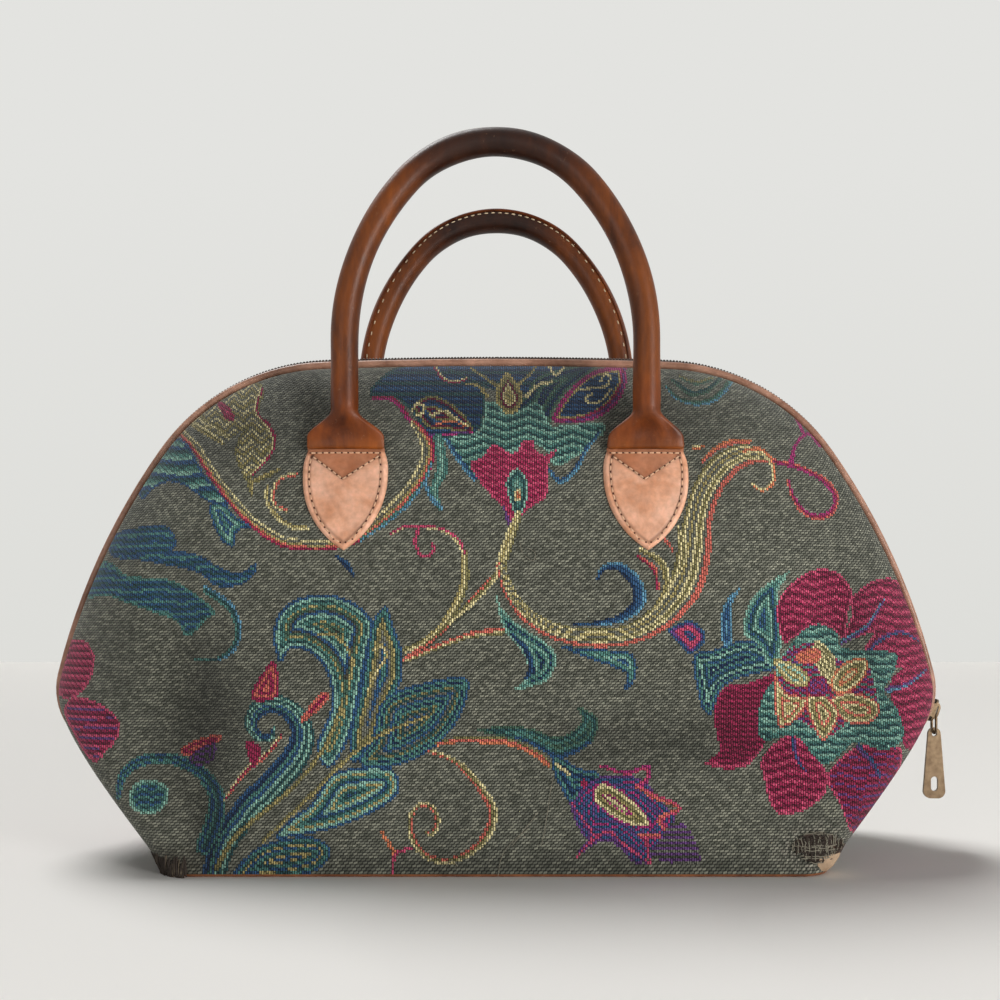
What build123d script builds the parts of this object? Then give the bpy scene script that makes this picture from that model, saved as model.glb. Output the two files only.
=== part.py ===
"""A zip-topped tapestry carpet bag with two rolled leather handles, in millimetres.

The bag stands on its base with the origin at the base's centre, +X to the right, the front facing -Y.
"""

from build123d import *
import os
from math import asin, cos, degrees, exp, pi, radians, sin

# Outline of the bag seen from the front, along the outer edge of the piping
crown_height = 231.6
crown_radius = 2330.0
crown_angle = 2.0
shoulder_radius = 97.6
shoulder_angle = 52.7
side_radius = 309.5
side_angle = 21.5
nose_radius = 30.5
nose_angle = 89.0

# Base
base_length = 290.0
base_depth = 124.0
base_corner_radius = 16.0
base_leather = 2.0
base_piping_diameter = 3.0
board_thickness = 2.5

# Cloth panels and lining
cloth_thickness = 1.8
lining_thickness = 0.8
seam_gap = 0.3
layer_gap = 0.2
rib_power = 3.2
rib_even = 0.35
ribs_across = 60
points_up = 12

# Soft dents that the empty bag has taken: depth, place across and up, and reach
hollow_depth = 5.0
hollow_across = -134.0
hollow_height = 74.0
hollow_reach = 28.0
crease_depth = 2.5
crease_across = 84.0
crease_height = 64.0
crease_reach = 36.0

# Zip and its piping
piping_diameter = 3.6
edge_gap = 0.1
zip_half_width = 12.0
tape_thickness = 0.8
tape_rise = 1.8
tape_flat = 5.6
coil_slot = 1.4
coil_width = 2.4
coil_height = 2.0
end_tab_thickness = 1.3
end_tab_length = 7.5
end_tab_half_width = 8.5
end_gap = 0.4
end_seat = 0.8

# Slider, ring and pull
slider_angle = 18.0
slider_length = 11.0
slider_plate = 1.0
slider_wall = 1.0
slider_clearance = 0.35
slider_post = 0.7
slider_post_length = 3.7
slider_wall_length = 6.6
slider_corner = 2.2
ring_clearance = 0.45
bridge_length = 9.0
bridge_width = 1.6
bridge_strap = 0.9
ring_wire = 1.3
ring_inner_width = 4.0
ring_inner_length = 8.0
pull_length = 34.0
pull_thickness = 1.5
pull_neck_width = 6.0
pull_tip_width = 10.4
pull_corner = 3.5
pull_eye = 2.4
pull_hole_width = 3.4
pull_hole_length = 7.0

# Handles and their leaf tabs
handle_diameter = 12.0
handle_bore = 8.6
core_gap = 0.2
handle_crown_radius = 52.9
handle_crown_angle = 47.9
handle_side_radius = 103.9
handle_straight = 25.0
neck_length = 20.0
shoulder_width = 34.0
shoulder_edge = 3.4
shoulder_step = 0.2
shoulder_heights = (1.0, 0.72, 0.36, 0.0)
shoulder_widening = (0.0, 0.08, 0.58, 1.0)
shoulder_flattening = (0.0, 0.1, 0.6, 1.0)
hinge_height = 186.0
hinge_gap = 0.85
shoulder_gap = 0.85
handle_stand = 3.2
tab_thickness = 1.8
tab_width = 37.4
tab_length = 45.0
tab_widest = 11.0
tab_waist_width = 27.0
tab_waist = 30.6
tab_tip_radius = 5.0

os.makedirs("parts", exist_ok=True)


# The outline as arcs, clockwise from the middle of the crown
def walk(height, arcs):
    """Return each arc's centre, radius, start angle and sweep, for tangent arcs from (0, height)."""
    steps = []
    across, up, turned = 0.0, height, 0.0
    for radius, sweep in arcs:
        centre = (across - radius * sin(turned), up - radius * cos(turned))
        steps.append((centre, radius, turned, sweep))
        turned += sweep
        across = centre[0] + radius * sin(turned)
        up = centre[1] + radius * cos(turned)
    return steps


outline = walk(
    crown_height,
    [
        (crown_radius, radians(crown_angle)),
        (shoulder_radius, radians(shoulder_angle)),
        (side_radius, radians(side_angle)),
        (nose_radius, radians(nose_angle)),
    ],
)
nose_centre, nose_outer, nose_start, nose_sweep = outline[-1]


def edge_length(inset):
    """Return the length of half of the outline, inset."""
    return sum((radius - inset) * sweep for _, radius, _, sweep in outline)


def edge_point(distance, inset):
    """Return the point of the right half of the outline, inset, at a distance from the crown's middle."""
    for centre, radius, start, sweep in outline:
        reach = radius - inset
        turn = start + distance / reach
        if distance <= reach * sweep:
            break
        distance -= reach * sweep
    return centre[0] + reach * sin(turn), centre[1] + reach * cos(turn)


def follow_outline(section, end_cut):
    """Turn a section, drawn outward from the outline and along Y, round every arc of the outline."""
    swept = []
    for side in (1, -1):
        for centre, radius, start, sweep in outline:
            turn = sweep - (end_cut / radius if radius == nose_radius else 0)
            plane = Plane(
                origin=(side * (centre[0] + radius * sin(start)), 0, centre[1] + radius * cos(start)),
                x_dir=(side * sin(start), 0, cos(start)),
                z_dir=(side * cos(start), 0, -sin(start)),
            )
            axis = Axis((side * centre[0], 0, centre[1]), (0, side, 0))
            swept.append(revolve(plane * section(side), axis, degrees(turn)))
    return Part() + swept


# Tapestry panels: ribs fan out from the base's edge to the piping, each a quarter ellipse in depth
edge_inset = piping_diameter + edge_gap
panel_foot = base_piping_diameter + layer_gap
panel_edge = edge_length(edge_inset)


def half_loop(travelled, half_length, depth, corner):
    """Return the places along and out on a half loop with rounded corners, from its middle to its end."""
    straight = half_length - corner
    bend = corner * pi / 2
    if travelled <= straight:
        return travelled, depth
    if travelled <= straight + bend:
        turn = (travelled - straight) / corner
        return straight + corner * sin(turn), depth - corner + corner * cos(turn)
    return half_length, depth - corner - (travelled - straight - bend)


def loop_length(half_length, depth, corner):
    """Return the length of that half loop."""
    return half_length + depth - 2 * corner + corner * pi / 2


def panel_point(across, rise):
    """Return a point of the front panel, across from -1 to 1 and up its rib by an angle of 0 to 90."""
    side = -1 if across < 0 else 1
    share = abs(across)
    foot_share = (1 - rib_even) * share**rib_power + rib_even * share
    foot_size = (base_length / 2, base_depth / 2, base_corner_radius)
    foot_x, foot_out = half_loop(foot_share * loop_length(*foot_size), *foot_size)
    top_size = (panel_edge, zip_half_width, zip_half_width)
    top_along, top_out = half_loop(share * loop_length(*top_size), *top_size)
    top_x, top_z = edge_point(top_along, edge_inset)
    x = side * (foot_x + (top_x - foot_x) * sin(rise))
    z = panel_foot + (top_z - panel_foot) * sin(rise)
    out = top_out + (foot_out - top_out) * cos(rise)
    hollow = ((x - hollow_across) ** 2 + (z - hollow_height) ** 2) / hollow_reach**2
    crease = ((x - crease_across) / 2) ** 2 + (z - crease_height) ** 2
    fade = sin(2 * rise) * max(0.0, out / (base_depth / 2)) ** 2
    out -= fade * (hollow_depth * exp(-hollow) + crease_depth * exp(-crease / crease_reach**2))
    return Vector(x, -out - (0.5 - out / base_depth) * seam_gap, z)


def panel_surface(inset):
    """Return the front panel's surface, set in along its normal."""
    step = 1e-3
    rows = []
    for i in range(points_up + 1):
        rise = min(max(i / points_up * pi / 2, step), pi / 2 - step)
        row = []
        for j in range(ribs_across + 1):
            across = sin((j / ribs_across - 0.5) * pi) * (1 - step)
            point = panel_point(across, rise)
            run = panel_point(across + step / 2, rise) - panel_point(across - step / 2, rise)
            climb = panel_point(across, rise + step / 2) - panel_point(across, rise - step / 2)
            inward = climb.cross(run).normalized()
            row.append(point + inward * inset)
        rows.append(row)
    return Face.make_surface_from_array_of_points(rows, tol=0.1, min_deg=3, max_deg=3)


low_up = (Align.CENTER, Align.CENTER, Align.MIN)
above_foot = Pos(0, 0, panel_foot) * Box(2 * base_length, 2 * base_depth, crown_height, align=low_up)
front_panel = Solid.thicken(panel_surface(0), cloth_thickness) & above_foot
lining_inset = cloth_thickness + layer_gap
lining_front = Solid.thicken(panel_surface(lining_inset), lining_thickness) & above_foot


def panel_out(x, z):
    """Return how far out from the middle plane the front panel's face is, at a place right of centre."""
    low, high = 0.0, 1.0
    top_size = (panel_edge, zip_half_width, zip_half_width)
    for _ in range(40):
        across = (low + high) / 2
        top_along, _ = half_loop(across * loop_length(*top_size), *top_size)
        top_z = edge_point(top_along, edge_inset)[1]
        if top_z <= z:
            high = across
            continue
        rise = asin((z - panel_foot) / (top_z - panel_foot))
        if panel_point(across, rise).X > x:
            high = across
        else:
            low = across
    return -panel_point(across, rise).Y


def to_back(shape):
    """Return the back's copy of a piece on the front."""
    return mirror(shape, about=Plane.XZ)


# Base: a leather panel inside its piping, with a stiffening board on it
def base_outline(inset):
    """Return the base's rounded rectangle, inset."""
    return RectangleRounded(base_length - 2 * inset, base_depth - 2 * inset, base_corner_radius - inset)


base_panel = extrude(base_outline(base_piping_diameter + layer_gap), base_leather)
piping_path = base_outline(base_piping_diameter / 2).wire()
piping_start = Plane(origin=piping_path @ 0, z_dir=piping_path % 0)
base_piping = sweep(piping_start * Circle(base_piping_diameter / 2), path=piping_path)
base_piping = Pos(0, 0, base_piping_diameter / 2) * base_piping
board_inset = lining_inset + lining_thickness + layer_gap
base_board = extrude(base_outline(board_inset), board_thickness)
base_board = Pos(0, 0, base_leather + layer_gap) * base_board


# Piping, zip tapes and coils follow the outline, and stop where the panels close round the zip's end
piping_radius = piping_diameter / 2
tape_edge = zip_half_width - piping_radius - layer_gap
tape_low = tape_thickness / 2 - piping_radius


def piping_section(side):
    """Return the front piping's section."""
    return Pos(-piping_radius, side * zip_half_width) * Circle(piping_radius)


def tape_section(side):
    """Return the front zip tape's section: flat under the coil, then sloping to the piping."""
    points = [
        (tape_rise, side * coil_slot / 2),
        (tape_rise, side * tape_flat),
        (tape_low, side * tape_edge),
        (tape_low - tape_thickness, side * tape_edge),
        (tape_rise - tape_thickness, side * tape_flat),
        (tape_rise - tape_thickness, side * coil_slot / 2),
    ]
    return make_face(Polyline(*points, close=True))


def coil_section(side):
    """Return the front coil's section, an oval bead on the tape."""
    place = Pos(tape_rise + coil_height / 2, side * (coil_slot + coil_width) / 2)
    return place * Ellipse(coil_height / 2, coil_width / 2)


front_piping = follow_outline(piping_section, zip_half_width)
zip_tape_front = follow_outline(tape_section, zip_half_width)
zip_coil_front = follow_outline(coil_section, zip_half_width)

end_turn = nose_start + nose_sweep - (zip_half_width - end_gap) / nose_outer
end_plane = Plane(
    origin=(nose_centre[0] + nose_outer * sin(end_turn), 0, nose_centre[1] + nose_outer * cos(end_turn)),
    x_dir=(sin(end_turn), 0, cos(end_turn)),
    z_dir=(cos(end_turn), 0, -sin(end_turn)),
)
end_section = Rectangle(end_tab_thickness, 2 * end_tab_half_width, align=(Align.MIN, Align.CENTER))
end_section = Pos(end_seat - edge_inset, 0) * end_section
nose_axis = Axis((nose_centre[0], 0, nose_centre[1]), (0, 1, 0))
zip_end_right = revolve(end_plane * end_section, nose_axis, degrees(end_tab_length / nose_outer))
zip_end_left = mirror(zip_end_right, about=Plane.YZ)


# Slider, drawn about its middle: X toward the crown, Z outward from the outline
slider_turn = pi / 2 + radians(slider_angle)
slider_plane = Plane(
    origin=(
        nose_centre[0] + nose_outer * sin(slider_turn),
        0,
        nose_centre[1] + nose_outer * cos(slider_turn),
    ),
    x_dir=(-cos(slider_turn), 0, sin(slider_turn)),
    z_dir=(sin(slider_turn), 0, cos(slider_turn)),
)
coil_top = tape_rise + coil_height
slider_half_width = coil_slot / 2 + coil_width + slider_clearance + slider_wall
slider_sag = slider_length**2 / 8 / nose_outer
plate_low = coil_top + slider_clearance
plate_top = plate_low + slider_plate
lower_top = tape_rise - tape_thickness - slider_clearance - slider_sag
bridge_clear = ring_wire + 2 * ring_clearance


def slider_body():
    """Return the slider: two plates on a post, side walls round the coil, and the bridge."""
    plate = extrude(RectangleRounded(slider_length, 2 * slider_half_width, slider_corner), slider_plate)
    post = Box(slider_post_length, slider_post, plate_low - lower_top, align=low_up)
    body = Pos(0, 0, plate_low) * plate
    body += Pos(0, 0, lower_top - slider_plate) * plate
    body += Pos(0, 0, lower_top) * post
    wall_low = tape_rise + slider_clearance
    for side in (-1, 1):
        place = Pos(0, side * (slider_half_width - slider_wall / 2), wall_low)
        body += place * Box(slider_wall_length, slider_wall, plate_low - wall_low, align=low_up)
    arch = SlotOverall(bridge_length, 2 * (bridge_clear + bridge_strap))
    arch -= SlotOverall(bridge_length - 2 * bridge_strap, 2 * bridge_clear)
    arch &= Rectangle(bridge_length, bridge_length, align=(Align.CENTER, Align.MIN))
    bridge = extrude(Plane.XZ * arch, bridge_width / 2, both=True)
    return body + Pos(0, 0, plate_top) * bridge


zip_slider = slider_plane * slider_body()
pivot_back = bridge_length / 2 - bridge_strap - bridge_clear
pivot = slider_plane.from_local_coords(Vector(-pivot_back, 0, plate_top + bridge_clear / 2))


# Ring and pull, hanging plumb from the bridge
ring_path = SlotOverall(ring_inner_length + ring_wire, ring_inner_width + ring_wire).wire()
ring_start = Plane(origin=ring_path @ 0, z_dir=ring_path % 0)
ring = sweep(ring_start * Circle(ring_wire / 2), path=ring_path)
ring_place = Plane(origin=pivot, x_dir=(0, 0, -1), z_dir=(1, 0, 0))
zip_ring = ring_place * (Pos((ring_inner_length + ring_wire) / 2, 0, 0) * ring)

eye_drop = ring_inner_length + ring_wire + pull_eye / 2 - ring_wire / 2 - slider_clearance / 2
pull_end = pull_length - pull_neck_width / 2 - pull_corner


def pull_plate():
    """Return the pull's outline: an eye at the top, widening to a rounded tip with a slot."""
    rounds = Circle(pull_neck_width / 2).edges()
    for side in (-1, 1):
        corner = Pos(pull_end, side * (pull_tip_width / 2 - pull_corner)) * Circle(pull_corner)
        rounds += corner.edges()
    plate = make_hull(rounds)
    plate -= Circle(pull_eye / 2)
    plate -= Pos(pull_end - pull_hole_length / 2, 0) * SlotOverall(pull_hole_length, pull_hole_width)
    return plate


pull_place = Plane(origin=pivot + Vector(0, 0, -eye_drop), x_dir=(0, 0, -1), z_dir=(0, -1, 0))
zip_pull = extrude(pull_place * pull_plate(), pull_thickness / 2, both=True)


# Rolled handle: a leather tube round a cord core, flaring to flat shoulders that bend at the hinge line
crown_turn = radians(handle_crown_angle)
side_turn = pi / 2 - crown_turn
leg_x = handle_crown_radius * sin(crown_turn) + handle_side_radius * (1 - sin(crown_turn))
arch_rise = handle_crown_radius * (1 - cos(crown_turn)) + handle_side_radius * cos(crown_turn)
leg_top = hinge_height + neck_length + handle_straight
arch = walk(leg_top + arch_rise, [(handle_crown_radius, crown_turn), (handle_side_radius, side_turn)])
edge_radius = shoulder_edge / 2
shoulder_out = max(panel_out(leg_x + reach * shoulder_width / 2, hinge_height) for reach in (-1, 0, 1))
hinge_out = shoulder_out + edge_radius + shoulder_gap
arch_out = hinge_out + handle_stand


def round_bar(diameter, straight):
    """Return a round bar along the arch and down both legs."""
    bars = []
    for side in (1, -1):
        for centre, radius, start, sweep in arch:
            place = Plane(
                origin=(side * (centre[0] + radius * sin(start)), 0, centre[1] + radius * cos(start)),
                z_dir=(side * cos(start), 0, -sin(start)),
            )
            axis = Axis((side * centre[0], 0, centre[1]), (0, side, 0))
            bars.append(revolve(place * Circle(diameter / 2), axis, degrees(sweep)))
        leg = Cylinder(diameter / 2, straight, align=(Align.CENTER, Align.CENTER, Align.MAX))
        bars.append(Pos(side * leg_x, 0, leg_top) * leg)
    return Pos(0, -arch_out, 0) * (Part() + bars)


def shoulder(side):
    """Return the flare from the round handle to its flat edge, rounded about the hinge line."""
    sections = []
    for height, widen, flatten in zip(shoulder_heights, shoulder_widening, shoulder_flattening):
        top = handle_diameter + 2 * shoulder_step
        width = top + edge_gap + widen * (shoulder_width - top - edge_gap)
        depth = top - flatten * (top - shoulder_edge)
        forward = (1 - flatten) * handle_stand
        sections.append(Pos(0, -forward, height * neck_length) * SlotOverall(width, depth))
    rim = SlotOverall(shoulder_width, shoulder_edge)
    rim &= Rectangle(shoulder_width, shoulder_edge, align=(Align.CENTER, Align.MIN))
    flare = loft(sections) + revolve(rim, Axis((0, 0, 0), (-1, 0, 0)), 180)
    return Pos(side * leg_x, -hinge_out, hinge_height) * flare


front_handle = round_bar(handle_diameter, handle_straight) - round_bar(handle_bore, handle_straight)
front_handle += shoulder(1)
front_handle += shoulder(-1)
front_handle_core = round_bar(handle_bore - 2 * core_gap, handle_straight - core_gap)


# Leaf tabs, sewn to the panel below the hinge line
def leaf_outline():
    """Return a leaf with a straight top edge, pointing down from the origin."""
    half_top = shoulder_width / 2
    half = tab_width / 2
    shoulder_bend = (half_top + 0.9 * (half - half_top), -tab_widest / 2)
    right_top = ThreePointArc((half_top, 0), shoulder_bend, (half, -tab_widest))
    right_low = ThreePointArc((half, -tab_widest), (tab_waist_width / 2, -tab_waist), (0, -tab_length))
    right = Curve() + [right_top, right_low]
    left = mirror(right, about=Plane.YZ)
    top = Line((-half_top, 0), (half_top, 0))
    leaf = make_face(Curve() + [top, *right.edges(), *left.edges()])
    tip = leaf.vertices().sort_by(Axis.Y)[0]
    return fillet(tip, tab_tip_radius)


tab_layer = Solid.thicken(panel_surface(-edge_gap), -tab_thickness)
tab_top = hinge_height - edge_radius - hinge_gap


def leaf_tab(side):
    """Return the leaf tab on one leg of the front handle, curved to the panel under it."""
    place = Plane(origin=(side * leg_x, 0, tab_top), x_dir=(1, 0, 0), z_dir=(0, -1, 0))
    return extrude(place * leaf_outline(), base_depth) & tab_layer


tab_front_left = leaf_tab(-1)
tab_front_right = leaf_tab(1)

nodes = {
    "front_panel": front_panel,
    "back_panel": to_back(front_panel),
    "lining_front": lining_front,
    "lining_back": to_back(lining_front),
    "base_panel": base_panel,
    "base_piping": base_piping,
    "base_board": base_board,
    "front_piping": front_piping,
    "back_piping": to_back(front_piping),
    "zip_tape_front": zip_tape_front,
    "zip_tape_back": to_back(zip_tape_front),
    "zip_coil_front": zip_coil_front,
    "zip_coil_back": to_back(zip_coil_front),
    "zip_end_right": zip_end_right,
    "zip_end_left": zip_end_left,
    "zip_slider": zip_slider,
    "zip_ring": zip_ring,
    "zip_pull": zip_pull,
    "front_handle": front_handle,
    "back_handle": to_back(front_handle),
    "front_handle_core": front_handle_core,
    "back_handle_core": to_back(front_handle_core),
    "tab_front_left": tab_front_left,
    "tab_front_right": tab_front_right,
    "tab_back_left": to_back(tab_front_left),
    "tab_back_right": to_back(tab_front_right),
}

for name, shape in nodes.items():
    export_step(shape, f"parts/{name}.step")

# Places that the joints and mounts use
print("slider turns about", nose_centre)
print("pull hangs from", tuple(pivot))
print("handles hinge at out, up", hinge_out, hinge_height)
print("leg spread, arch top", leg_x, leg_top + arch_rise + handle_diameter / 2)
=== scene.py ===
"""Looks for the carpet bag: woven tapestry, rolled leather handles, piping, zip and worn corners.

Places are in millimetres in the shared frame until a mesh is made. Motifs are drawn on a square sheet that
lies over the front, seen from the camera.
"""

from functools import lru_cache
from math import cos, pi, radians, sin

import bpy
import numpy as np
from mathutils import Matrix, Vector


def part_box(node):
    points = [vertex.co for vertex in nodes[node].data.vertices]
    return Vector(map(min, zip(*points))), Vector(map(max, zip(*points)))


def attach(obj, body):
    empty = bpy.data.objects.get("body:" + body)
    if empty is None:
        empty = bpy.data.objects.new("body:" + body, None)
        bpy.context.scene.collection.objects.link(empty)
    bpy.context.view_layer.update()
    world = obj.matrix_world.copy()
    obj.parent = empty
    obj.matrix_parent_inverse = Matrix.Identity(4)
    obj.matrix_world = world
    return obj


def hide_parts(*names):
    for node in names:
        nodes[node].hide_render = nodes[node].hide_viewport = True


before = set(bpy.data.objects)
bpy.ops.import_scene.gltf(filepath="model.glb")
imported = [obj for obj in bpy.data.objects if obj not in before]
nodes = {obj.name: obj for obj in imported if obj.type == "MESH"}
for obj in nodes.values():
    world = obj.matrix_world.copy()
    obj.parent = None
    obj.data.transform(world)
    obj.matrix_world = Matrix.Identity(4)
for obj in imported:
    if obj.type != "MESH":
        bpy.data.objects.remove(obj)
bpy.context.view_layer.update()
MM = 0.001
chance = np.random.default_rng(7)
sides = (("front", -1), ("back", 1))

# Camera, from the photograph's perspective
camera_distance = 520.0
camera_height = 109.0
camera_across = 1.9
camera_lens = 38.95
sensor_width = 36.0
camera_shift = 0.12

# The sheet of the motifs, as the camera sees it
sheet_size = 1000.0
sheet_middle = sheet_size / 2
eye_row = sheet_middle + camera_shift * sheet_size

# The bag's outline and panels, as in the part's source
crown_height = 231.6
outline_arcs = ((2330.0, radians(2.0)), (97.6, radians(52.7)), (309.5, radians(21.5)), (30.5, radians(89.0)))
base_length = 290.0
base_depth = 124.0
base_corner_radius = 16.0
edge_inset = 3.7
panel_foot = 3.2
zip_half_width = 12.0
seam_gap = 0.3
rib_power = 3.2
rib_even = 0.35
hollow_depth, hollow_across, hollow_height, hollow_reach = 5.0, -134.0, 74.0, 28.0
crease_depth, crease_across, crease_height, crease_reach = 2.5, 84.0, 64.0, 36.0
crease_stretch = 2.0

# Handles and tabs
handle_radius = 6.0
handle_crown_radius = 52.9
handle_crown_angle = radians(47.9)
handle_side_radius = 103.9
handle_straight = 25.0
neck_length = 20.0
shoulder_half = 17.0
shoulder_thickness = 3.4
hinge_height = 186.0
handle_stand = 3.2
tab_thickness = 1.8
tab_length = 45.0
tab_half = 18.7


# Outline
def walk(height, arcs):
    """Each arc's centre, radius, start and sweep, for tangent arcs clockwise from (0, height)."""
    steps = []
    across, up, turned = 0.0, height, 0.0
    for radius, sweep in arcs:
        centre = (across - radius * sin(turned), up - radius * cos(turned))
        steps.append((centre, radius, turned, sweep))
        turned += sweep
        across = centre[0] + radius * sin(turned)
        up = centre[1] + radius * cos(turned)
    return steps


outline = walk(crown_height, outline_arcs)


def edge_length(inset):
    """Length of half of the outline, inset."""
    return sum((radius - inset) * sweep for _, radius, _, sweep in outline)


def edge_point(distance, inset):
    """Point of the right half of the outline, and the way the outline faces there."""
    for centre, radius, start, sweep in outline:
        reach = radius - inset
        turn = start + distance / reach
        if distance <= reach * sweep:
            break
        distance -= reach * sweep
    return centre[0] + reach * sin(turn), centre[1] + reach * cos(turn), turn


def half_loop(travelled, half_length, depth, corner):
    """Places along and out on a half loop with rounded corners."""
    straight = half_length - corner
    bend = corner * pi / 2
    if travelled <= straight:
        return travelled, depth
    if travelled <= straight + bend:
        turn = (travelled - straight) / corner
        return straight + corner * sin(turn), depth - corner + corner * cos(turn)
    return half_length, depth - corner - (travelled - straight - bend)


def loop_length(half_length, depth, corner):
    """Length of that half loop."""
    return half_length + depth - 2 * corner + corner * pi / 2


panel_edge = edge_length(edge_inset)
foot_size = (base_length / 2, base_depth / 2, base_corner_radius)
top_size = (panel_edge, zip_half_width, zip_half_width)

# Ribs of the panel: where each starts at the foot and ends at the piping
rib_count = 900
rib_shares = np.sin(np.linspace(0, pi / 2, rib_count))
rib_foot = []
rib_top = []
for share in rib_shares:
    foot_share = (1 - rib_even) * share**rib_power + rib_even * share
    rib_foot.append(half_loop(foot_share * loop_length(*foot_size), *foot_size))
    top_along, top_out = half_loop(share * loop_length(*top_size), *top_size)
    rib_top.append((*edge_point(top_along, edge_inset)[:2], top_out))
rib_foot = np.array(rib_foot)
rib_top = np.array(rib_top)


# Softer folds of the empty bag: ends of each valley across and up, its width and depth
folds = (
    ((-150.0, 120.0), (-122.0, 60.0), 11.0, 5.0),
    ((-125.0, 50.0), (-120.0, 4.0), 6.5, 5.0),
    ((-146.0, 26.0), (-138.0, 8.0), 5.0, 2.4),
    ((44.0, 72.0), (112.0, 58.0), 9.0, 3.6),
    ((-36.0, 78.0), (52.0, 66.0), 15.0, 3.6),
    ((-66.0, 136.0), (-84.0, 98.0), 10.0, 2.6),
    ((146.0, 122.0), (158.0, 60.0), 10.0, 3.0),
    ((92.0, 26.0), (138.0, 15.0), 7.0, 3.2),
    ((-10.0, 24.0), (44.0, 16.0), 9.0, 2.0),
)
fold_at_foot = 0.3
fold_fade_height = 6.0
foot_sag = 1.7
foot_bulge = 0.7
foot_reach = 5.0

# Fine ripple all over: its depth, and the lengths of its two crossing waves across and up
ripple_depth = 0.35
ripple_across = (17.0, 41.0)
ripple_up = (29.0, 13.0)


def dents(x, z, fade):
    """How far the soft dents, folds and creases pull the cloth in."""
    hollow = ((x - hollow_across) ** 2 + (z - hollow_height) ** 2) / hollow_reach**2
    crease = ((x - crease_across) / crease_stretch) ** 2 + (z - crease_height) ** 2
    pull = hollow_depth * np.exp(-hollow) + crease_depth * np.exp(-crease / crease_reach**2)
    strength = min(1.0, (z - panel_foot) / fold_fade_height + fold_at_foot)
    for start, end, width, depth in folds:
        run = np.subtract(end, start)
        share = np.clip(((x - start[0]) * run[0] + (z - start[1]) * run[1]) / (run @ run), 0, 1)
        gap = np.hypot(x - start[0] - share * run[0], z - start[1] - share * run[1])
        pull = pull + depth * np.exp(-((gap / width) ** 2)) * strength
    first_wave = np.sin(x / ripple_across[0] + z / ripple_up[0])
    second_wave = np.sin(z / ripple_up[1] - x / ripple_across[1])
    return fade * (pull + ripple_depth * first_wave * second_wave)


@lru_cache(maxsize=None)
def slice_at(z, side):
    """The panel's level curve at a height: arc length from the middle, x and out, on one side."""
    inside = rib_top[:, 1] > z
    last = int(np.argmin(inside)) if not inside.all() else rib_count
    tops = rib_top[:last]
    feet = rib_foot[:last]
    if last < rib_count:
        span = rib_top[last - 1, 1] - rib_top[last, 1]
        part = (rib_top[last - 1, 1] - z) / max(span, 1e-9)
        tops = np.vstack([tops, rib_top[last - 1] + part * (rib_top[last] - rib_top[last - 1])])
        feet = np.vstack([feet, rib_foot[last - 1] + part * (rib_foot[last] - rib_foot[last - 1])])
    lift = np.clip((z - panel_foot) / (tops[:, 1] - panel_foot), 0, 1)
    rise = np.arcsin(lift)
    x = side * (feet[:, 0] + (tops[:, 0] - feet[:, 0]) * lift)
    out = tops[:, 2] + (feet[:, 1] - tops[:, 2]) * np.cos(rise)
    fade = np.sin(2 * rise) * (out / (base_depth / 2)) ** 2
    out = out - dents(x, z, fade)
    out = out + (0.5 - out / base_depth) * seam_gap
    steps = np.hypot(np.diff(x), np.diff(out))
    return np.concatenate([[0], np.cumsum(steps)]), x, out


def panel_out(x, z):
    """How far out from the middle plane the panel's face is at a place."""
    _, xs, outs = slice_at(z, 1 if x >= 0 else -1)
    return float(np.interp(abs(x), np.abs(xs), outs))


# Colours, as they look in daylight
def linear(colour):
    """Turn an sRGB colour of 0 to 255 into a linear one."""
    parts = np.array(colour, float) / 255
    return np.where(parts <= 0.04045, parts / 12.92, ((parts + 0.055) / 1.055) ** 2.4)


ground = (104, 105, 94)
ground_dark = (72, 74, 64)
ground_light = (138, 138, 123)
teal = (76, 122, 114)
teal_light = (128, 170, 154)
teal_dark = (42, 76, 78)
green = (70, 100, 84)
blue = (46, 80, 116)
blue_dark = (27, 48, 78)
blue_light = (92, 140, 166)
crimson = (146, 38, 74)
crimson_dark = (100, 24, 50)
pink = (188, 72, 104)
magenta = (158, 48, 108)
coral = (200, 104, 90)
orange = (206, 122, 86)
cream = (212, 200, 150)
gold = (164, 150, 98)
olive = (122, 116, 76)
purple = (98, 62, 118)


# Drawing on the sheet: every stitch asks the motifs for its colour, and the last one drawn over it wins
class Sheet:
    """The places of all the stitches on the sheet, with their colours so far."""

    def __init__(self, places):
        self.places = places
        self.colours = np.tile(linear(ground), (len(places), 1))
        self.motif = np.zeros(len(places))

    def near(self, points, margin):
        """Which stitches lie within a margin of the points' box."""
        low = points.min(axis=0) - margin
        high = points.max(axis=0) + margin
        return np.nonzero(((self.places >= low) & (self.places <= high)).all(axis=1))[0]

    def paint(self, picks, choice, colours):
        """Give the picked stitches the colours of their lanes."""
        if len(picks):
            table = np.array([linear(colour) for colour in colours])
            self.colours[picks] = table[choice]
            self.motif[picks] = 1.0


def smooth_line(points, closed, steps=8):
    """A Catmull-Rom curve through the points, and how far along each of its points is."""
    points = np.array(points, float)
    if closed:
        ring = np.vstack([points[-1], points, points[:2]])
    else:
        ring = np.vstack([2 * points[0] - points[1], points, 2 * points[-1] - points[-2]])
    share = np.linspace(0, 1, steps, endpoint=False)[:, None]
    pieces = []
    for a, b, c, d in zip(ring, ring[1:], ring[2:], ring[3:]):
        pieces.append(
            0.5 * (2 * b + (c - a) * share + (2 * a - 5 * b + 4 * c - d) * share**2)
            + 0.5 * (3 * b - a - 3 * c + d) * share**3
        )
    curve = np.vstack(pieces)
    along = np.repeat(np.arange(len(pieces)), steps) + np.tile(share[:, 0], len(pieces))
    if not closed:
        curve = np.vstack([curve, points[-1]])
        along = np.append(along, len(pieces))
    return curve, along


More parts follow.
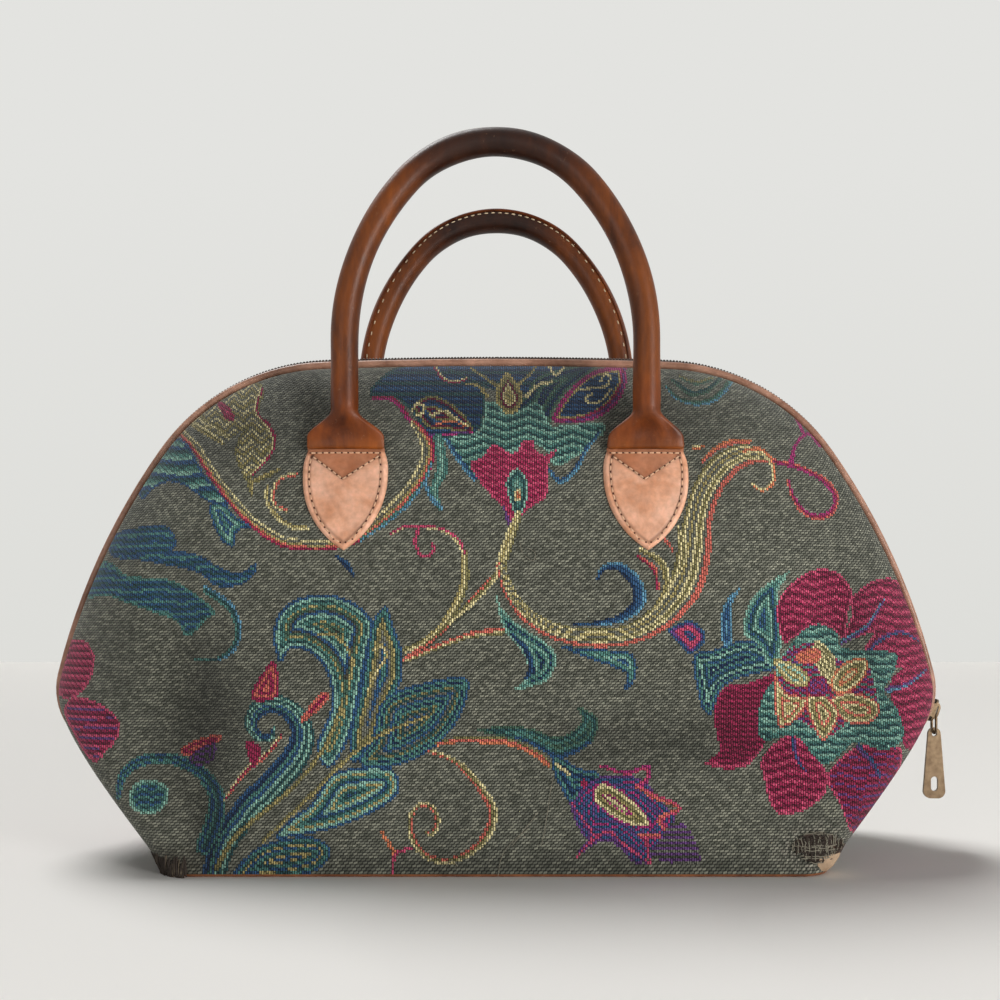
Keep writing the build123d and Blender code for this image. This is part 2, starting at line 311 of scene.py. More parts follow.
def nearest(places, curve):
    """Distance from each place to the curve, the piece it is nearest, the share along it and its side."""
    start = curve[:-1]
    run = curve[1:] - start
    size = np.maximum((run**2).sum(axis=1), 1e-9)
    best = np.full(len(places), 1e9)
    piece = np.zeros(len(places), int)
    share = np.zeros(len(places))
    side = np.ones(len(places))
    for i in range(len(run)):
        gap = places - start[i]
        t = np.clip(gap @ run[i] / size[i], 0, 1)
        off = gap - t[:, None] * run[i]
        distance = np.hypot(off[:, 0], off[:, 1])
        closer = distance < best
        best[closer] = distance[closer]
        piece[closer] = i
        share[closer] = t[closer]
        side[closer] = np.sign(run[i][0] * gap[closer, 1] - run[i][1] * gap[closer, 0])
    return best, piece, share, side


def patch(sheet, points, lanes, wave=None):
    """Fill a rounded shape. Lanes are (width, colour) from its edge inward; wave is (colours, pitch, height,
    length) for level stripes that zigzag in its core."""
    curve, _ = smooth_line(points, True, 5)
    picks = sheet.near(curve, 0)
    places = sheet.places[picks]
    inside = np.zeros(len(places), bool)
    ring = np.vstack([curve, curve[0]])
    for (ax, ay), (bx, by) in zip(ring, ring[1:]):
        if ay == by:
            continue
        crosses = (ay > places[:, 1]) != (by > places[:, 1])
        at = ax + (places[:, 1] - ay) / (by - ay) * (bx - ax)
        inside ^= crosses & (places[:, 0] < at)
    picks = picks[inside]
    places = places[inside]
    if not len(picks):
        return
    depth, _, _, _ = nearest(places, ring)
    ends = np.cumsum([width for width, _ in lanes])
    total = ends[-1]
    colours = [colour for _, colour in lanes]
    choice = np.searchsorted(ends, np.mod(depth, total), side="right")
    choice = np.minimum(choice, len(lanes) - 1)
    if wave:
        shades, pitch, height, length = wave
        zigzag = height * np.abs(np.mod(places[:, 0] / length, 2) - 1)
        band = np.floor((places[:, 1] + zigzag) / pitch).astype(int) % len(shades)
        core = depth > total
        choice = np.where(core, len(colours) + band, choice)
        colours = colours + list(shades)
    sheet.paint(picks, choice, colours)


def ribbon(sheet, points, widths, colours):
    """Draw a line that swells and tapers. Colours are its lanes, from the left of its travel to the right."""
    curve, along = smooth_line(points, False)
    widths = np.interp(along, np.arange(len(widths)) * (len(points) - 1) / max(len(widths) - 1, 1), widths)
    picks = sheet.near(curve, max(widths))
    distance, piece, share, side = nearest(sheet.places[picks], curve)
    width = widths[piece] + share * (widths[piece + 1] - widths[piece])
    hit = distance <= width / 2
    across = (0.5 + side * distance / np.maximum(width, 1e-6))[hit]
    choice = np.clip((across * len(colours)).astype(int), 0, len(colours) - 1)
    sheet.paint(picks[hit], choice, colours)


def draw_top(sheet):
    """Dark-blue petals, gold medallion, layered wings and the tulip under the middle of the zip."""
    rows_blue = ((blue_dark, blue, blue_dark, teal_dark), 2.6, 0, 20)
    patch(sheet, [(370, 396), (376, 382), (400, 366), (436, 364), (470, 366), (484, 392), (484, 414),
                  (474, 434), (431, 438), (424, 430), (408, 408), (394, 398)], [(2.5, teal_dark)], rows_blue)
    patch(sheet, [(449, 364), (560, 362), (548, 380), (530, 394), (500, 392), (474, 382)],
          [(2, teal_dark)], rows_blue)
    patch(sheet, [(526, 396), (540, 376), (600, 362), (566, 392), (552, 414), (548, 426), (520, 426),
                  (506, 414)], [(3, green), (3, blue_dark), (3, teal_dark)])
    patch(sheet, [(553, 421), (556, 410), (566, 394), (585, 376), (600, 369), (620, 367), (625, 378),
                  (619, 393), (608, 408), (592, 418), (570, 422)],
          [(4, magenta), (2, gold)], ((blue_dark, blue), 2.6, 0, 20))
    ribbon(sheet, [(624, 368), (622, 387), (610, 405), (590, 417), (566, 422)], [5, 7, 8, 7, 3],
           [magenta, purple, crimson])
    ribbon(sheet, [(601, 381), (605, 374), (610, 377), (606, 386), (592, 388), (581, 390)], [2.5], [cream])
    ribbon(sheet, [(611, 389), (602, 400), (591, 403), (585, 398), (592, 394)], [2.5], [cream])
    ribbon(sheet, [(373, 398), (394, 400), (410, 420), (419, 431), (428, 436)], [3, 5, 5, 6, 5],
           [crimson, magenta])
    patch(sheet, [(414, 408), (424, 397), (441, 398), (460, 411), (474, 432), (450, 430), (430, 428)],
          [(2.4, olive), (2, crimson_dark), (3, blue_dark), (2, blue)])
    ribbon(sheet, [(412, 411), (416, 404), (423, 406), (423, 413), (417, 415)], [2.4], [cream])
    ribbon(sheet, [(430, 416), (444, 411), (456, 418), (467, 426)], [2.4], [cream])
    ribbon(sheet, [(437, 424), (453, 421), (466, 427)], [2.2], [orange])
    ribbon(sheet, [(428, 436), (449, 434), (473, 432)], [3.5, 3, 2], [purple, magenta])
    ribbon(sheet, [(435, 367), (444, 379), (456, 382), (467, 378)], [3.6, 3], [cream, crimson])
    ribbon(sheet, [(497, 386), (483, 376), (471, 368)], [4, 3, 2], [gold, olive])
    ribbon(sheet, [(487, 396), (477, 385), (466, 384)], [3.5, 3], [gold])
    ribbon(sheet, [(517, 385), (530, 374), (536, 366)], [4, 3, 2], [olive, gold])
    ribbon(sheet, [(526, 397), (538, 385), (552, 382)], [3.5, 3], [cream])
    ribbon(sheet, [(549, 366), (555, 375), (562, 370), (564, 365)], [2.6], [cream])
    patch(sheet, [(507, 372), (519, 386), (523, 399), (517, 411), (508, 414), (499, 408), (495, 396),
                  (499, 384)], [(3, gold), (2.5, olive), (2, crimson_dark), (2, cream)])
    wings = ((teal_light, teal, teal_dark), 3.0, 7, 22)
    patch(sheet, [(432, 438), (474, 434), (484, 416), (486, 402), (497, 404), (508, 415), (521, 410),
                  (538, 402), (549, 423), (558, 426), (597, 422), (606, 429), (598, 439), (574, 458),
                  (555, 466), (545, 450), (531, 444), (512, 453), (492, 450), (484, 464), (469, 476),
                  (458, 462), (444, 441)], [(2.2, teal_light)], wings)
    ribbon(sheet, [(446, 439), (458, 458), (474, 479)], [4, 6, 5], [blue, blue_light])
    ribbon(sheet, [(600, 432), (586, 450), (575, 470), (560, 481), (549, 470)], [3, 4, 5, 5, 3],
           [blue_light, blue])
    ribbon(sheet, [(438, 438), (442, 468), (434, 490), (440, 508)], [9, 12, 8, 5], [teal, teal_light, teal])
    ribbon(sheet, [(424, 478), (430, 496), (442, 509)], [3, 4, 3], [blue_light])
    patch(sheet, [(470, 464), (482, 457), (492, 445), (502, 448), (510, 453), (518, 450), (523, 441),
                  (534, 440), (536, 451), (545, 455), (557, 450), (549, 462), (549, 476), (546, 496),
                  (530, 508), (517, 521), (508, 519), (502, 507), (491, 496), (480, 482)],
          [(2.4, pink)], ((pink, crimson, crimson), 2.6, 3, 9))
    patch(sheet, [(503, 506), (509, 518), (513, 527), (507, 522)], [(2, purple), (2, magenta)])
    patch(sheet, [(517, 468), (526, 479), (528, 494), (521, 516), (517, 520), (509, 498), (506, 481)],
          [(2.2, teal_light), (3, teal_dark), (3, teal)])
    patch(sheet, [(518, 488), (522, 496), (518, 502), (513, 496)], [(2, cream), (3, orange)])


def draw_stems(sheet):
    """Cream and coral stems in the middle, the large scroll, and the leaves that hang from it."""
    ribbon(sheet, [(504, 567), (472, 602), (440, 634), (405, 661)], [7, 6, 6, 7], [ground_dark, coral, coral])
    ribbon(sheet, [(502, 564), (486, 589), (456, 616), (424, 641), (406, 650)],
           [6, 5, 6, 6, 6], [cream, olive])
    ribbon(sheet, [(501, 631), (464, 637), (405, 660)], [8, 6, 5], [olive, cream, coral, coral])
    ribbon(sheet, [(464, 552), (465, 578), (458, 601), (442, 626), (424, 642)], [6, 8, 8, 7, 6],
           [olive, cream, gold])
    ribbon(sheet, [(464, 554), (457, 540), (442, 530), (424, 527), (405, 527), (391, 534)],
           [5, 5, 4, 3, 3, 3], [cream, pink])
    ribbon(sheet, [(418, 529), (415, 544), (423, 556), (433, 552), (433, 544)],
           [3.4, 3.4, 4, 3.4, 2.6], [pink])
    ribbon(sheet, [(518, 515), (508, 543), (500, 570)], [8, 11, 11], [olive, cream, gold, cream])
    scroll = [(501, 566), (508, 588), (524, 612), (552, 630), (590, 638), (630, 634), (662, 616), (685, 586),
              (694, 552), (698, 520), (706, 492), (722, 468), (744, 455), (764, 458)]
    scroll_widths = [9, 11, 13, 16, 18, 20, 26, 34, 34, 28, 28, 28, 22, 10]
    scroll_lanes = [olive, cream, ground, gold, ground, cream, olive, cream, ground, coral, coral]
    ribbon(sheet, scroll, scroll_widths, scroll_lanes)
    ribbon(sheet, [(638, 556), (654, 569), (658, 588)], [4, 5, 3], [coral, crimson])
    ribbon(sheet, [(641, 550), (661, 562), (667, 586), (655, 608)], [4, 7, 7, 4], [cream, olive, gold])
    ribbon(sheet, [(678, 528), (684, 552), (678, 574)], [4, 9, 4], [cream, olive, cream])
    ribbon(sheet, [(665, 540), (673, 550)], [4, 3], [coral])
    ribbon(sheet, [(702, 461), (716, 449), (732, 442), (749, 441)], [4, 5, 6, 4], [orange, coral])
    ribbon(sheet, [(694, 448), (703, 446)], [5, 3], [cream, orange])
    ribbon(sheet, [(744, 452), (758, 450), (769, 458), (774, 471), (772, 483), (762, 490), (752, 484)],
           [5, 6, 5, 4, 4, 4, 3], [orange, cream])
    ribbon(sheet, [(774, 461), (792, 465), (808, 471), (824, 480), (834, 492), (836, 503), (829, 514),
                   (815, 517), (801, 509), (792, 494), (788, 480)], [4, 6, 5, 6, 6, 5, 6, 6, 5, 4, 3],
           [coral, crimson, magenta])
    ribbon(sheet, [(791, 463), (794, 449), (800, 439), (809, 434), (820, 446)], [5, 4, 3.4, 3, 3], [magenta])
    ribbon(sheet, [(796, 418), (803, 432)], [3, 3], [magenta])
    ribbon(sheet, [(666, 386), (677, 398), (695, 403), (714, 399), (727, 386), (733, 377)],
           [3, 4, 5, 6, 6, 4], [green, teal, blue_light])
    ribbon(sheet, [(673, 380), (690, 393), (707, 390), (720, 379)], [4, 6, 5, 4], [teal_dark, green])
    ribbon(sheet, [(680, 377), (696, 383), (711, 379)], [4, 5, 4], [olive, green])
    ribbon(sheet, [(597, 579), (603, 569), (616, 566), (629, 574), (638, 588), (638, 604), (623, 617),
                   (601, 623), (574, 625)],
           [3, 5, 8, 11, 13, 13, 9, 5, 2], [blue_light, blue, blue, blue_dark])
    patch(sheet, [(495, 586), (501, 607), (520, 626), (541, 639), (555, 653), (555, 668), (544, 682),
                  (514, 690), (528, 676), (524, 655), (509, 637), (499, 615)],
          [(2.2, teal_light), (2.2, teal), (1.6, blue_dark), (2, teal)])
    ribbon(sheet, [(512, 634), (526, 650), (531, 668), (524, 680)], [3, 5, 6, 2], [blue, blue_dark])
    patch(sheet, [(558, 645), (584, 649), (611, 650), (630, 653), (637, 666), (633, 682), (623, 691),
                  (627, 675), (611, 666), (590, 659)], [(2.4, blue), (3, teal), (2, teal_light)])
    patch(sheet, [(668, 630), (691, 621), (706, 637), (691, 654), (681, 645)],
          [(2.4, blue), (2.4, purple), (5, pink)])


def draw_left(sheet):
    """Feather leaf, scroll, layered leaf and bell of the left side."""
    patch(sheet, [(237, 386), (258, 382), (264, 393), (259, 410), (264, 425), (274, 437), (273, 449),
                  (265, 463), (252, 473), (250, 486), (239, 467), (235, 454), (239, 437), (246, 427),
                  (228, 438), (208, 429), (194, 420), (214, 400)],
          [(1.8, olive)], ((cream, ground, gold, olive, ground), 2.3, 9, 9))
    ribbon(sheet, [(261, 388), (256, 411), (269, 428), (274, 443), (267, 458), (252, 474)],
           [4, 4, 5, 5, 4, 3], [crimson, cream])
    patch(sheet, [(217, 402), (227, 405), (235, 418), (226, 419)], [(4, crimson), (4, pink)])
    ribbon(sheet, [(250, 482), (252, 497)], [7, 2], [gold, olive])
    ribbon(sheet, [(192, 424), (206, 432), (224, 444)], [5, 7, 3], [cream, olive, gold])
    ribbon(sheet, [(196, 416), (212, 425), (229, 438)], [3, 4, 3], [olive, cream])
    scroll = [(180, 431), (196, 448), (212, 473), (232, 500), (254, 523), (279, 540), (305, 545), (334, 544),
              (360, 535), (383, 518), (403, 499), (420, 476), (428, 456), (426, 441), (414, 423)]
    ribbon(sheet, scroll, [8, 9, 9, 9, 10, 11, 11, 11, 11, 12, 13, 14, 14, 13, 7],
           [cream, ground, gold, coral, crimson])
    ribbon(sheet, [(360, 540), (384, 524), (405, 506), (424, 482), (431, 462)], [3, 4, 5, 4, 2],
           [teal, blue_light])
    ribbon(sheet, [(296, 474), (280, 479), (273, 493), (275, 505), (287, 511)], [3.6, 4, 4, 4, 3],
           [coral, cream])
    ribbon(sheet, [(267, 487), (267, 501), (275, 515), (290, 526), (307, 528)],
           [3.4, 4, 4, 5, 4], [gold, cream])
    ribbon(sheet, [(255, 481), (268, 475), (280, 469)], [5, 5, 3], [gold, olive])
    patch(sheet, [(172, 440), (187, 443), (195, 458), (208, 479), (220, 492), (228, 506), (208, 501),
                  (195, 493), (183, 485), (168, 482), (153, 489), (143, 499), (139, 491), (151, 469)],
          [(2.2, blue)], ((teal_dark, teal, teal_light, blue), 3.6, -4, 30))
    patch(sheet, [(209, 505), (225, 504), (235, 516), (251, 526), (237, 531), (235, 546), (224, 543),
                  (214, 527)], [(2.4, blue), (2.6, teal), (2, teal_light)])
    bell = ((blue, teal_dark, blue, teal), 2.8, 3, 26)
    patch(sheet, [(117, 533), (161, 525), (174, 534), (175, 546), (161, 556), (143, 559), (124, 560),
                  (109, 552)], [(2, blue)], bell)
    patch(sheet, [(124, 556), (170, 551), (199, 555), (217, 566), (238, 573), (257, 563), (251, 578),
                  (235, 586), (216, 586), (199, 573), (172, 566)], [(2, blue)], bell)
    patch(sheet, [(86, 596), (96, 568), (110, 562), (129, 576), (174, 581), (214, 610), (206, 620),
                  (187, 637), (176, 621), (153, 612), (127, 603), (108, 596)], [(2.4, teal)], bell)
    ribbon(sheet, [(206, 590), (229, 606), (238, 628), (233, 648), (217, 659), (194, 660)],
           [8, 8, 7, 6, 4, 2], [blue_light, teal_dark, teal])
    patch(sheet, [(58, 650), (66, 640), (85, 641), (94, 655), (93, 673), (84, 689), (72, 698), (58, 692)],
          [(2.4, pink)], ((crimson, crimson_dark, pink), 2.4, 0, 20))
    patch(sheet, [(64, 712), (72, 697), (88, 699), (104, 706), (120, 722), (117, 738), (106, 752), (95, 762),
                  (84, 752), (74, 734)], [(2.4, pink)], ((crimson, crimson_dark, pink, purple), 2.4, 0, 20))
    ribbon(sheet, [(336, 556), (346, 564), (354, 576)], [4, 7, 3], [blue, blue_dark])


def draw_plume(sheet):
    """The large acanthus plume at the lower left, with its spirals and coral buds."""
    ribbon(sheet, [(212, 880), (224, 842), (250, 807), (278, 779), (298, 752), (302, 730), (292, 712),
                   (274, 704), (257, 710), (251, 724), (259, 737), (271, 737), (274, 728)],
           [24, 26, 28, 28, 26, 23, 20, 18, 16, 13, 10, 7, 4],
           [blue, blue_dark, teal, blue, teal_light, teal_dark, teal_light, teal_dark])
    patch(sheet, [(278, 660), (273, 637), (279, 613), (297, 599), (325, 594), (352, 602), (373, 622),
                  (368, 650), (360, 690), (350, 735), (330, 768), (316, 748), (330, 712), (331, 690),
                  (323, 665), (307, 651), (291, 649), (283, 660)],
          [(3, blue), (3, teal_light), (1.6, teal_dark), (3, teal), (1.6, gold), (3, green),
           (1.6, ground_dark)])
    patch(sheet, [(366, 655), (372, 622), (386, 606), (394, 628), (402, 651), (402, 678), (391, 703),
                  (376, 742), (352, 762), (350, 732), (360, 690)],
          [(2.6, blue), (3, teal), (1.6, teal_dark), (1.6, gold), (3, olive), (3, ground)])
    patch(sheet, [(385, 698), (436, 680), (467, 679), (465, 704), (449, 733), (427, 752), (399, 765),
                  (364, 768), (361, 753), (372, 738)],
          [(2.6, blue), (2.6, teal), (1.8, blue_dark), (2.6, teal), (1.6, olive), (2.4, teal_dark),
           (1.6, ground)])
    patch(sheet, [(335, 773), (385, 767), (399, 782), (391, 801), (351, 822), (312, 833), (276, 838),
                  (289, 821), (312, 803)],
          [(2.6, blue), (3.2, teal_light), (1.8, gold), (3, teal), (1.6, teal_dark)])
    patch(sheet, [(257, 848), (299, 837), (325, 842), (329, 858), (312, 872), (273, 880), (232, 880)],
          [(2.4, blue), (2.6, teal), (2, teal_dark), (1.8, gold)])
    ribbon(sheet, [(343, 700), (326, 744), (294, 786), (238, 834), (216, 868)], [3, 4, 4, 5, 6],
           [olive, gold, olive])
    ribbon(sheet, [(428, 716), (384, 733), (352, 754), (312, 794), (262, 842)],
           [3, 4, 4, 4, 3], [gold, olive])
    ribbon(sheet, [(373, 650), (382, 646), (386, 656), (377, 672), (368, 690)],
           [2.4, 3, 3, 3, 2], [gold, cream])
    ribbon(sheet, [(317, 633), (338, 637), (351, 658), (349, 686)], [2.6], [gold])
    ribbon(sheet, [(118, 797), (123, 775), (142, 761), (171, 759), (199, 771), (216, 795), (214, 822),
                   (204, 846)], [5, 9, 11, 11, 13, 17, 19, 17], [teal, blue, teal_dark, teal, blue, teal])
    patch(sheet, [(149, 779), (166, 786), (169, 798), (160, 811), (147, 815), (133, 809), (129, 797),
                  (134, 785)], [(2.6, teal_light), (2.6, teal)], ((blue, teal, teal_dark), 2.6, 3, 8))
    patch(sheet, [(250, 698), (269, 664), (277, 667), (277, 697)], [(3, crimson), (3, coral)])
    patch(sheet, [(301, 718), (322, 692), (328, 700), (305, 721)], [(3, coral), (3, crimson)])
    patch(sheet, [(180, 753), (190, 742), (218, 734), (219, 741), (196, 755)], [(2.4, coral), (3, crimson)])
    patch(sheet, [(190, 756), (214, 743), (213, 760), (196, 765)], [(2, purple), (2, ground_dark)])
    ribbon(sheet, [(225, 799), (246, 770), (267, 754), (282, 734)], [3, 5, 5, 3], [cream, crimson, coral])
    patch(sheet, [(246, 742), (261, 748), (253, 768)], [(4, crimson)])


def draw_bud(sheet):
    """The bud flower at the lower middle on its coral stem, and the curl beside it."""
    ribbon(sheet, [(437, 744), (459, 740), (486, 740), (508, 742), (527, 749), (541, 757), (550, 766)],
           [4, 6, 7, 7, 7, 7, 6], [olive, coral, orange])
    patch(sheet, [(476, 730), (513, 726), (535, 730), (555, 737), (571, 732), (582, 719), (577, 707),
                  (593, 714), (598, 726), (590, 744), (571, 753), (555, 756), (531, 744), (504, 737)],
          [(2, green), (2.4, teal_dark), (2.4, teal)])
    ribbon(sheet, [(512, 736), (536, 745), (556, 756), (573, 752), (590, 742)], [2, 3, 4, 4, 3], [blue])
    patch(sheet, [(552, 754), (564, 759), (578, 768), (595, 771), (602, 779), (594, 788), (598, 796),
                  (582, 796), (571, 803), (561, 788), (554, 775)],
          [(2.6, blue), (2.6, teal), (3, blue_dark)])
    ribbon(sheet, [(557, 765), (571, 776)], [4, 3], [cream])
    patch(sheet, [(584, 778), (588, 784), (584, 789), (580, 784)], [(4, crimson)])
    patch(sheet, [(572, 805), (600, 777), (640, 779), (660, 800), (676, 820), (664, 836), (640, 864),
                  (612, 842), (586, 838)], [(2.4, purple), (2.6, blue), (2, magenta), (2.6, blue)])
    ribbon(sheet, [(571, 803), (584, 823), (591, 836), (577, 856)], [3, 4, 5, 2], [pink, purple])
    ribbon(sheet, [(580, 853), (593, 842), (608, 833), (624, 846), (648, 863)],
           [2, 5, 5, 6, 4], [pink, purple])
    ribbon(sheet, [(646, 838), (650, 862)], [4, 3], [pink])
    ribbon(sheet, [(600, 766), (627, 773), (647, 767), (647, 779), (636, 786)], [3, 4, 5, 5, 4],
           [magenta, pink])
    ribbon(sheet, [(636, 786), (656, 797), (679, 808), (660, 820), (668, 834), (640, 836)],
           [4, 6, 4, 6, 5, 4], [pink, coral])
    patch(sheet, [(592, 797), (600, 783), (616, 787), (634, 801), (648, 817), (650, 827), (627, 825),
                  (607, 814)], [(1.6, magenta), (3.4, cream), (3, olive), (2, gold)])
    patch(sheet, [(670, 824), (688, 828), (699, 864), (650, 857), (657, 843)],
          [(0.5, purple)], ((purple, ground_dark, purple, ground), 2.6, 0, 20))
    ribbon(sheet, [(428, 750), (455, 761), (470, 775), (484, 793), (493, 811), (488, 833), (472, 851),
                   (448, 861), (426, 856), (413, 840), (410, 820), (418, 806), (431, 807), (438, 821),
                   (432, 834), (425, 832)],
           [3, 5, 7, 8, 9, 9, 7, 6, 6, 6, 5, 5, 5, 5, 4, 3], [cream, olive, coral])
    ribbon(sheet, [(382, 832), (390, 846), (395, 855)], [3, 4, 4], [orange])
    ribbon(sheet, [(392, 877), (395, 855), (412, 848)], [4, 4, 3], [pink])


def draw_flower(sheet):
    """The large crimson flower at the right, its star and the leaves behind it."""
    petal = ((crimson, crimson_dark, crimson, pink), 2.4, 6, 22)
    patch(sheet, [(693, 668), (695, 654), (714, 650), (744, 640), (773, 650), (780, 664), (768, 671),
                  (742, 677), (721, 689), (711, 714), (701, 706), (697, 687)],
          [(2.4, blue), (2.4, teal), (1.8, blue_dark), (2.6, teal_light), (2, teal_dark)])
    patch(sheet, [(744, 634), (747, 608), (763, 587), (790, 571), (779, 589), (781, 611), (782, 633),
                  (779, 657), (769, 665), (758, 645)],
          [(2.4, teal_light), (3, teal), (2, blue), (2.6, teal_dark)])
    patch(sheet, [(724, 646), (720, 620), (727, 600), (740, 588), (731, 608), (733, 638)],
          [(2.2, blue_light), (3, blue)])
    patch(sheet, [(780, 598), (797, 579), (819, 569), (839, 574), (852, 592), (848, 613), (844, 640),
                  (834, 630), (817, 624), (797, 635), (784, 642), (777, 618)],
          [(2.2, pink), (1.8, crimson_dark)], petal)
    patch(sheet, [(851, 599), (873, 581), (896, 580), (911, 602), (925, 630), (929, 657), (899, 668),
                  (865, 653), (873, 633), (844, 640), (852, 616)],
          [(2.2, pink), (1.8, crimson_dark)], petal)
    patch(sheet, [(894, 676), (926, 657), (938, 681), (940, 706), (929, 736), (906, 749), (899, 715),
                  (891, 696)], [(2, crimson)], petal)
    patch(sheet, [(846, 754), (865, 746), (900, 748), (898, 773), (882, 798), (864, 825), (851, 831),
                  (839, 802), (827, 778)],
          [(2, pink)], ((crimson, crimson_dark, crimson, purple), 2.5, 5, 20))
    patch(sheet, [(761, 760), (778, 741), (793, 736), (817, 751), (823, 764), (828, 778), (823, 796),
                  (802, 811), (780, 814), (770, 802), (765, 783)], [(2.6, pink)], petal)
    patch(sheet, [(708, 760), (719, 751), (714, 715), (724, 688), (748, 683), (777, 674), (764, 698),
                  (762, 720), (764, 744), (745, 766), (717, 768)],
          [(2, crimson)], ((crimson, crimson_dark), 2.8, 2, 30))
    ribbon(sheet, [(706, 763), (726, 766), (746, 764), (762, 748)], [3, 4, 4, 2], [pink])
    ribbon(sheet, [(842, 642), (868, 625), (884, 600)], [5, 4, 2], [blue_light, purple])
    ribbon(sheet, [(866, 654), (880, 640), (900, 632), (918, 640)], [4, 4, 3, 2], [purple, blue])
    ribbon(sheet, [(888, 690), (908, 684), (926, 670)], [6, 4, 2], [purple, blue_light])
    ribbon(sheet, [(858, 746), (872, 762), (880, 778)], [5, 4, 3], [blue, purple])
    ribbon(sheet, [(793, 738), (796, 756), (806, 772)], [4, 3, 2], [purple, blue])
    star = ((teal_light, teal, teal_dark), 3.0, 3, 18)
    patch(sheet, [(786, 654), (797, 636), (817, 624), (836, 632), (841, 647), (864, 650), (896, 654),
                  (892, 676), (884, 691), (898, 710), (903, 739), (882, 750), (857, 742), (839, 755),
                  (824, 765), (811, 752), (793, 735), (761, 739), (761, 700), (778, 676)],
          [(2.4, teal)], star)
    patch(sheet, [(786, 650), (812, 642), (842, 660), (868, 662), (878, 712), (850, 724), (826, 738),
                  (800, 722), (776, 718), (776, 676)],
          [(1.6, teal_light)], ((purple, crimson, teal, crimson), 2.4, 4, 8))
    patch(sheet, [(816, 640), (828, 648), (836, 662), (832, 680), (824, 684), (818, 668), (812, 656)],
          [(2.2, cream), (2, olive)])
    patch(sheet, [(795, 655), (812, 648), (820, 652), (818, 662), (802, 664)], [(2.4, coral), (2, orange)])
    patch(sheet, [(830, 684), (840, 666), (858, 658), (868, 662), (864, 678), (852, 690), (838, 694)],
          [(2.2, orange), (2.6, cream), (2, olive), (2, gold)])
    patch(sheet, [(830, 700), (848, 692), (872, 698), (880, 710), (872, 722), (852, 724), (836, 714)],
          [(2.2, coral), (2.4, cream), (2, olive), (2, gold)])
    patch(sheet, [(806, 698), (822, 694), (836, 706), (838, 720), (824, 740), (812, 724)],
          [(2.2, coral), (2.2, cream), (2, olive), (2, gold)])
    patch(sheet, [(774, 672), (786, 692), (806, 698), (804, 710), (790, 724), (777, 722)],
          [(2.2, coral), (2.2, cream), (2, gold)])
    patch(sheet, [(772, 660), (790, 662), (808, 674), (806, 686), (788, 682)],
          [(2.2, gold), (2, cream), (2, teal_light)])
    patch(sheet, [(812, 678), (824, 677), (829, 690), (820, 697), (806, 692)], [(2, crimson), (2, purple)])


# Shades of the plain ground: shares of floats below and above which they are dark and light
dark_below = 0.25
light_above = 0.76
ground_kept = 0.35
plain_jitter = 0.12
motif_jitter = 0.3


def tapestry_colours(places, cells):
    """The linear colour of every stitch, and 1 where a motif covers it. A cell is one float of stitches."""
    sheet = Sheet(places)
    for draw in (draw_top, draw_left, draw_stems, draw_plume, draw_bud, draw_flower):
        draw(sheet)
    plain = sheet.motif < 0.5
    shade = chance.random(cells.max() + 1)[cells][plain][:, None]
    lighter = np.where(shade > light_above, linear(ground_light), linear(ground))
    mixed = np.where(shade < dark_below, linear(ground_dark), lighter)
    sheet.colours[plain] = ground_kept * sheet.colours[plain] + (1 - ground_kept) * mixed
    strength = np.where(plain, plain_jitter, motif_jitter)
    jitter = 1 + strength * (chance.random(len(places)) * 2 - 1)
    return sheet.colours * jitter[:, None], sheet.motif


def sheet_scale(depth):
    """Units of the sheet to a millimetre, at a depth from the camera."""
    return camera_lens / sensor_width * sheet_size / depth


def to_sheet(points):
    """Where points of the bag, in millimetres, are seen on the sheet."""
    scale = sheet_scale(camera_distance + points[:, 1])
    across = sheet_middle + scale * (points[:, 0] - camera_across)
    down = eye_row - scale * (points[:, 2] - camera_height)
    return np.stack([across, down], axis=1)


# Meshes
def make_mesh(name, points, faces):
    """A mesh object from points in millimetres."""
    mesh = bpy.data.meshes.new(name)
    mesh.from_pydata([tuple(float(v) * MM for v in point) for point in points], [], faces)
    mesh.update()
    item = bpy.data.objects.new(name, mesh)
    bpy.context.scene.collection.objects.link(item)
    return item


def grid_faces(rows, columns, base=0):
    """Faces of a grid of points that are listed row by row."""
    faces = []
    for row in range(rows - 1):
        for column in range(columns - 1):
            a = base + row * columns + column
            faces.append((a, a + 1, a + 1 + columns, a + columns))
    return faces


def ring_faces(rings, around, base=0):
    """Faces between closed rings of points that are listed ring by ring."""
    faces = []
    for ring in range(rings - 1):
        for k in range(around):
            a = base + ring * around + k
            b = base + ring * around + (k + 1) % around
            faces.append((a, b, b + around, a + around))
    return faces


def tube_faces(rings, around, base=0):
    """Faces of a tube of such rings, closed at both ends."""
    last = base + (rings - 1) * around
    caps = [tuple(range(base, base + around))[::-1], tuple(range(last, last + around))]
    return ring_faces(rings, around, base) + caps


def facing(faces, side):
    """The faces as they are for the front, and turned over for the back."""
    return [face[::-1] for face in faces] if side > 0 else faces


def shade_smooth(item):
    """Shade a mesh smooth."""
    item.data.polygons.foreach_set("use_smooth", [True] * len(item.data.polygons))


# Tapestry panels, one stitch to a face
stitch_width = 1.0
row_height = 1.1
quick_factor = 1.0
longest_half_row = 240.0
least_end_stitch = 0.35

# Floats of the plain ground and of the motifs: how many to a stitch, their shift from one row to the next and
# how sharply they end
float_share = 0.5
float_shift = 0.37
float_tilt = 0.4
float_end = 2.2
motif_float_share = 0.5
motif_float_shift = 0.29
motif_float_end = 1.8


def middle_profile():
    """Heights and outs of the panel along its middle rib."""
    rise = np.linspace(0, pi / 2, 200)
    heights = panel_foot + (rib_top[0, 1] - panel_foot) * np.sin(rise)
    outs = rib_top[0, 2] + (rib_foot[0, 1] - rib_top[0, 2]) * np.cos(rise)
    return heights, outs


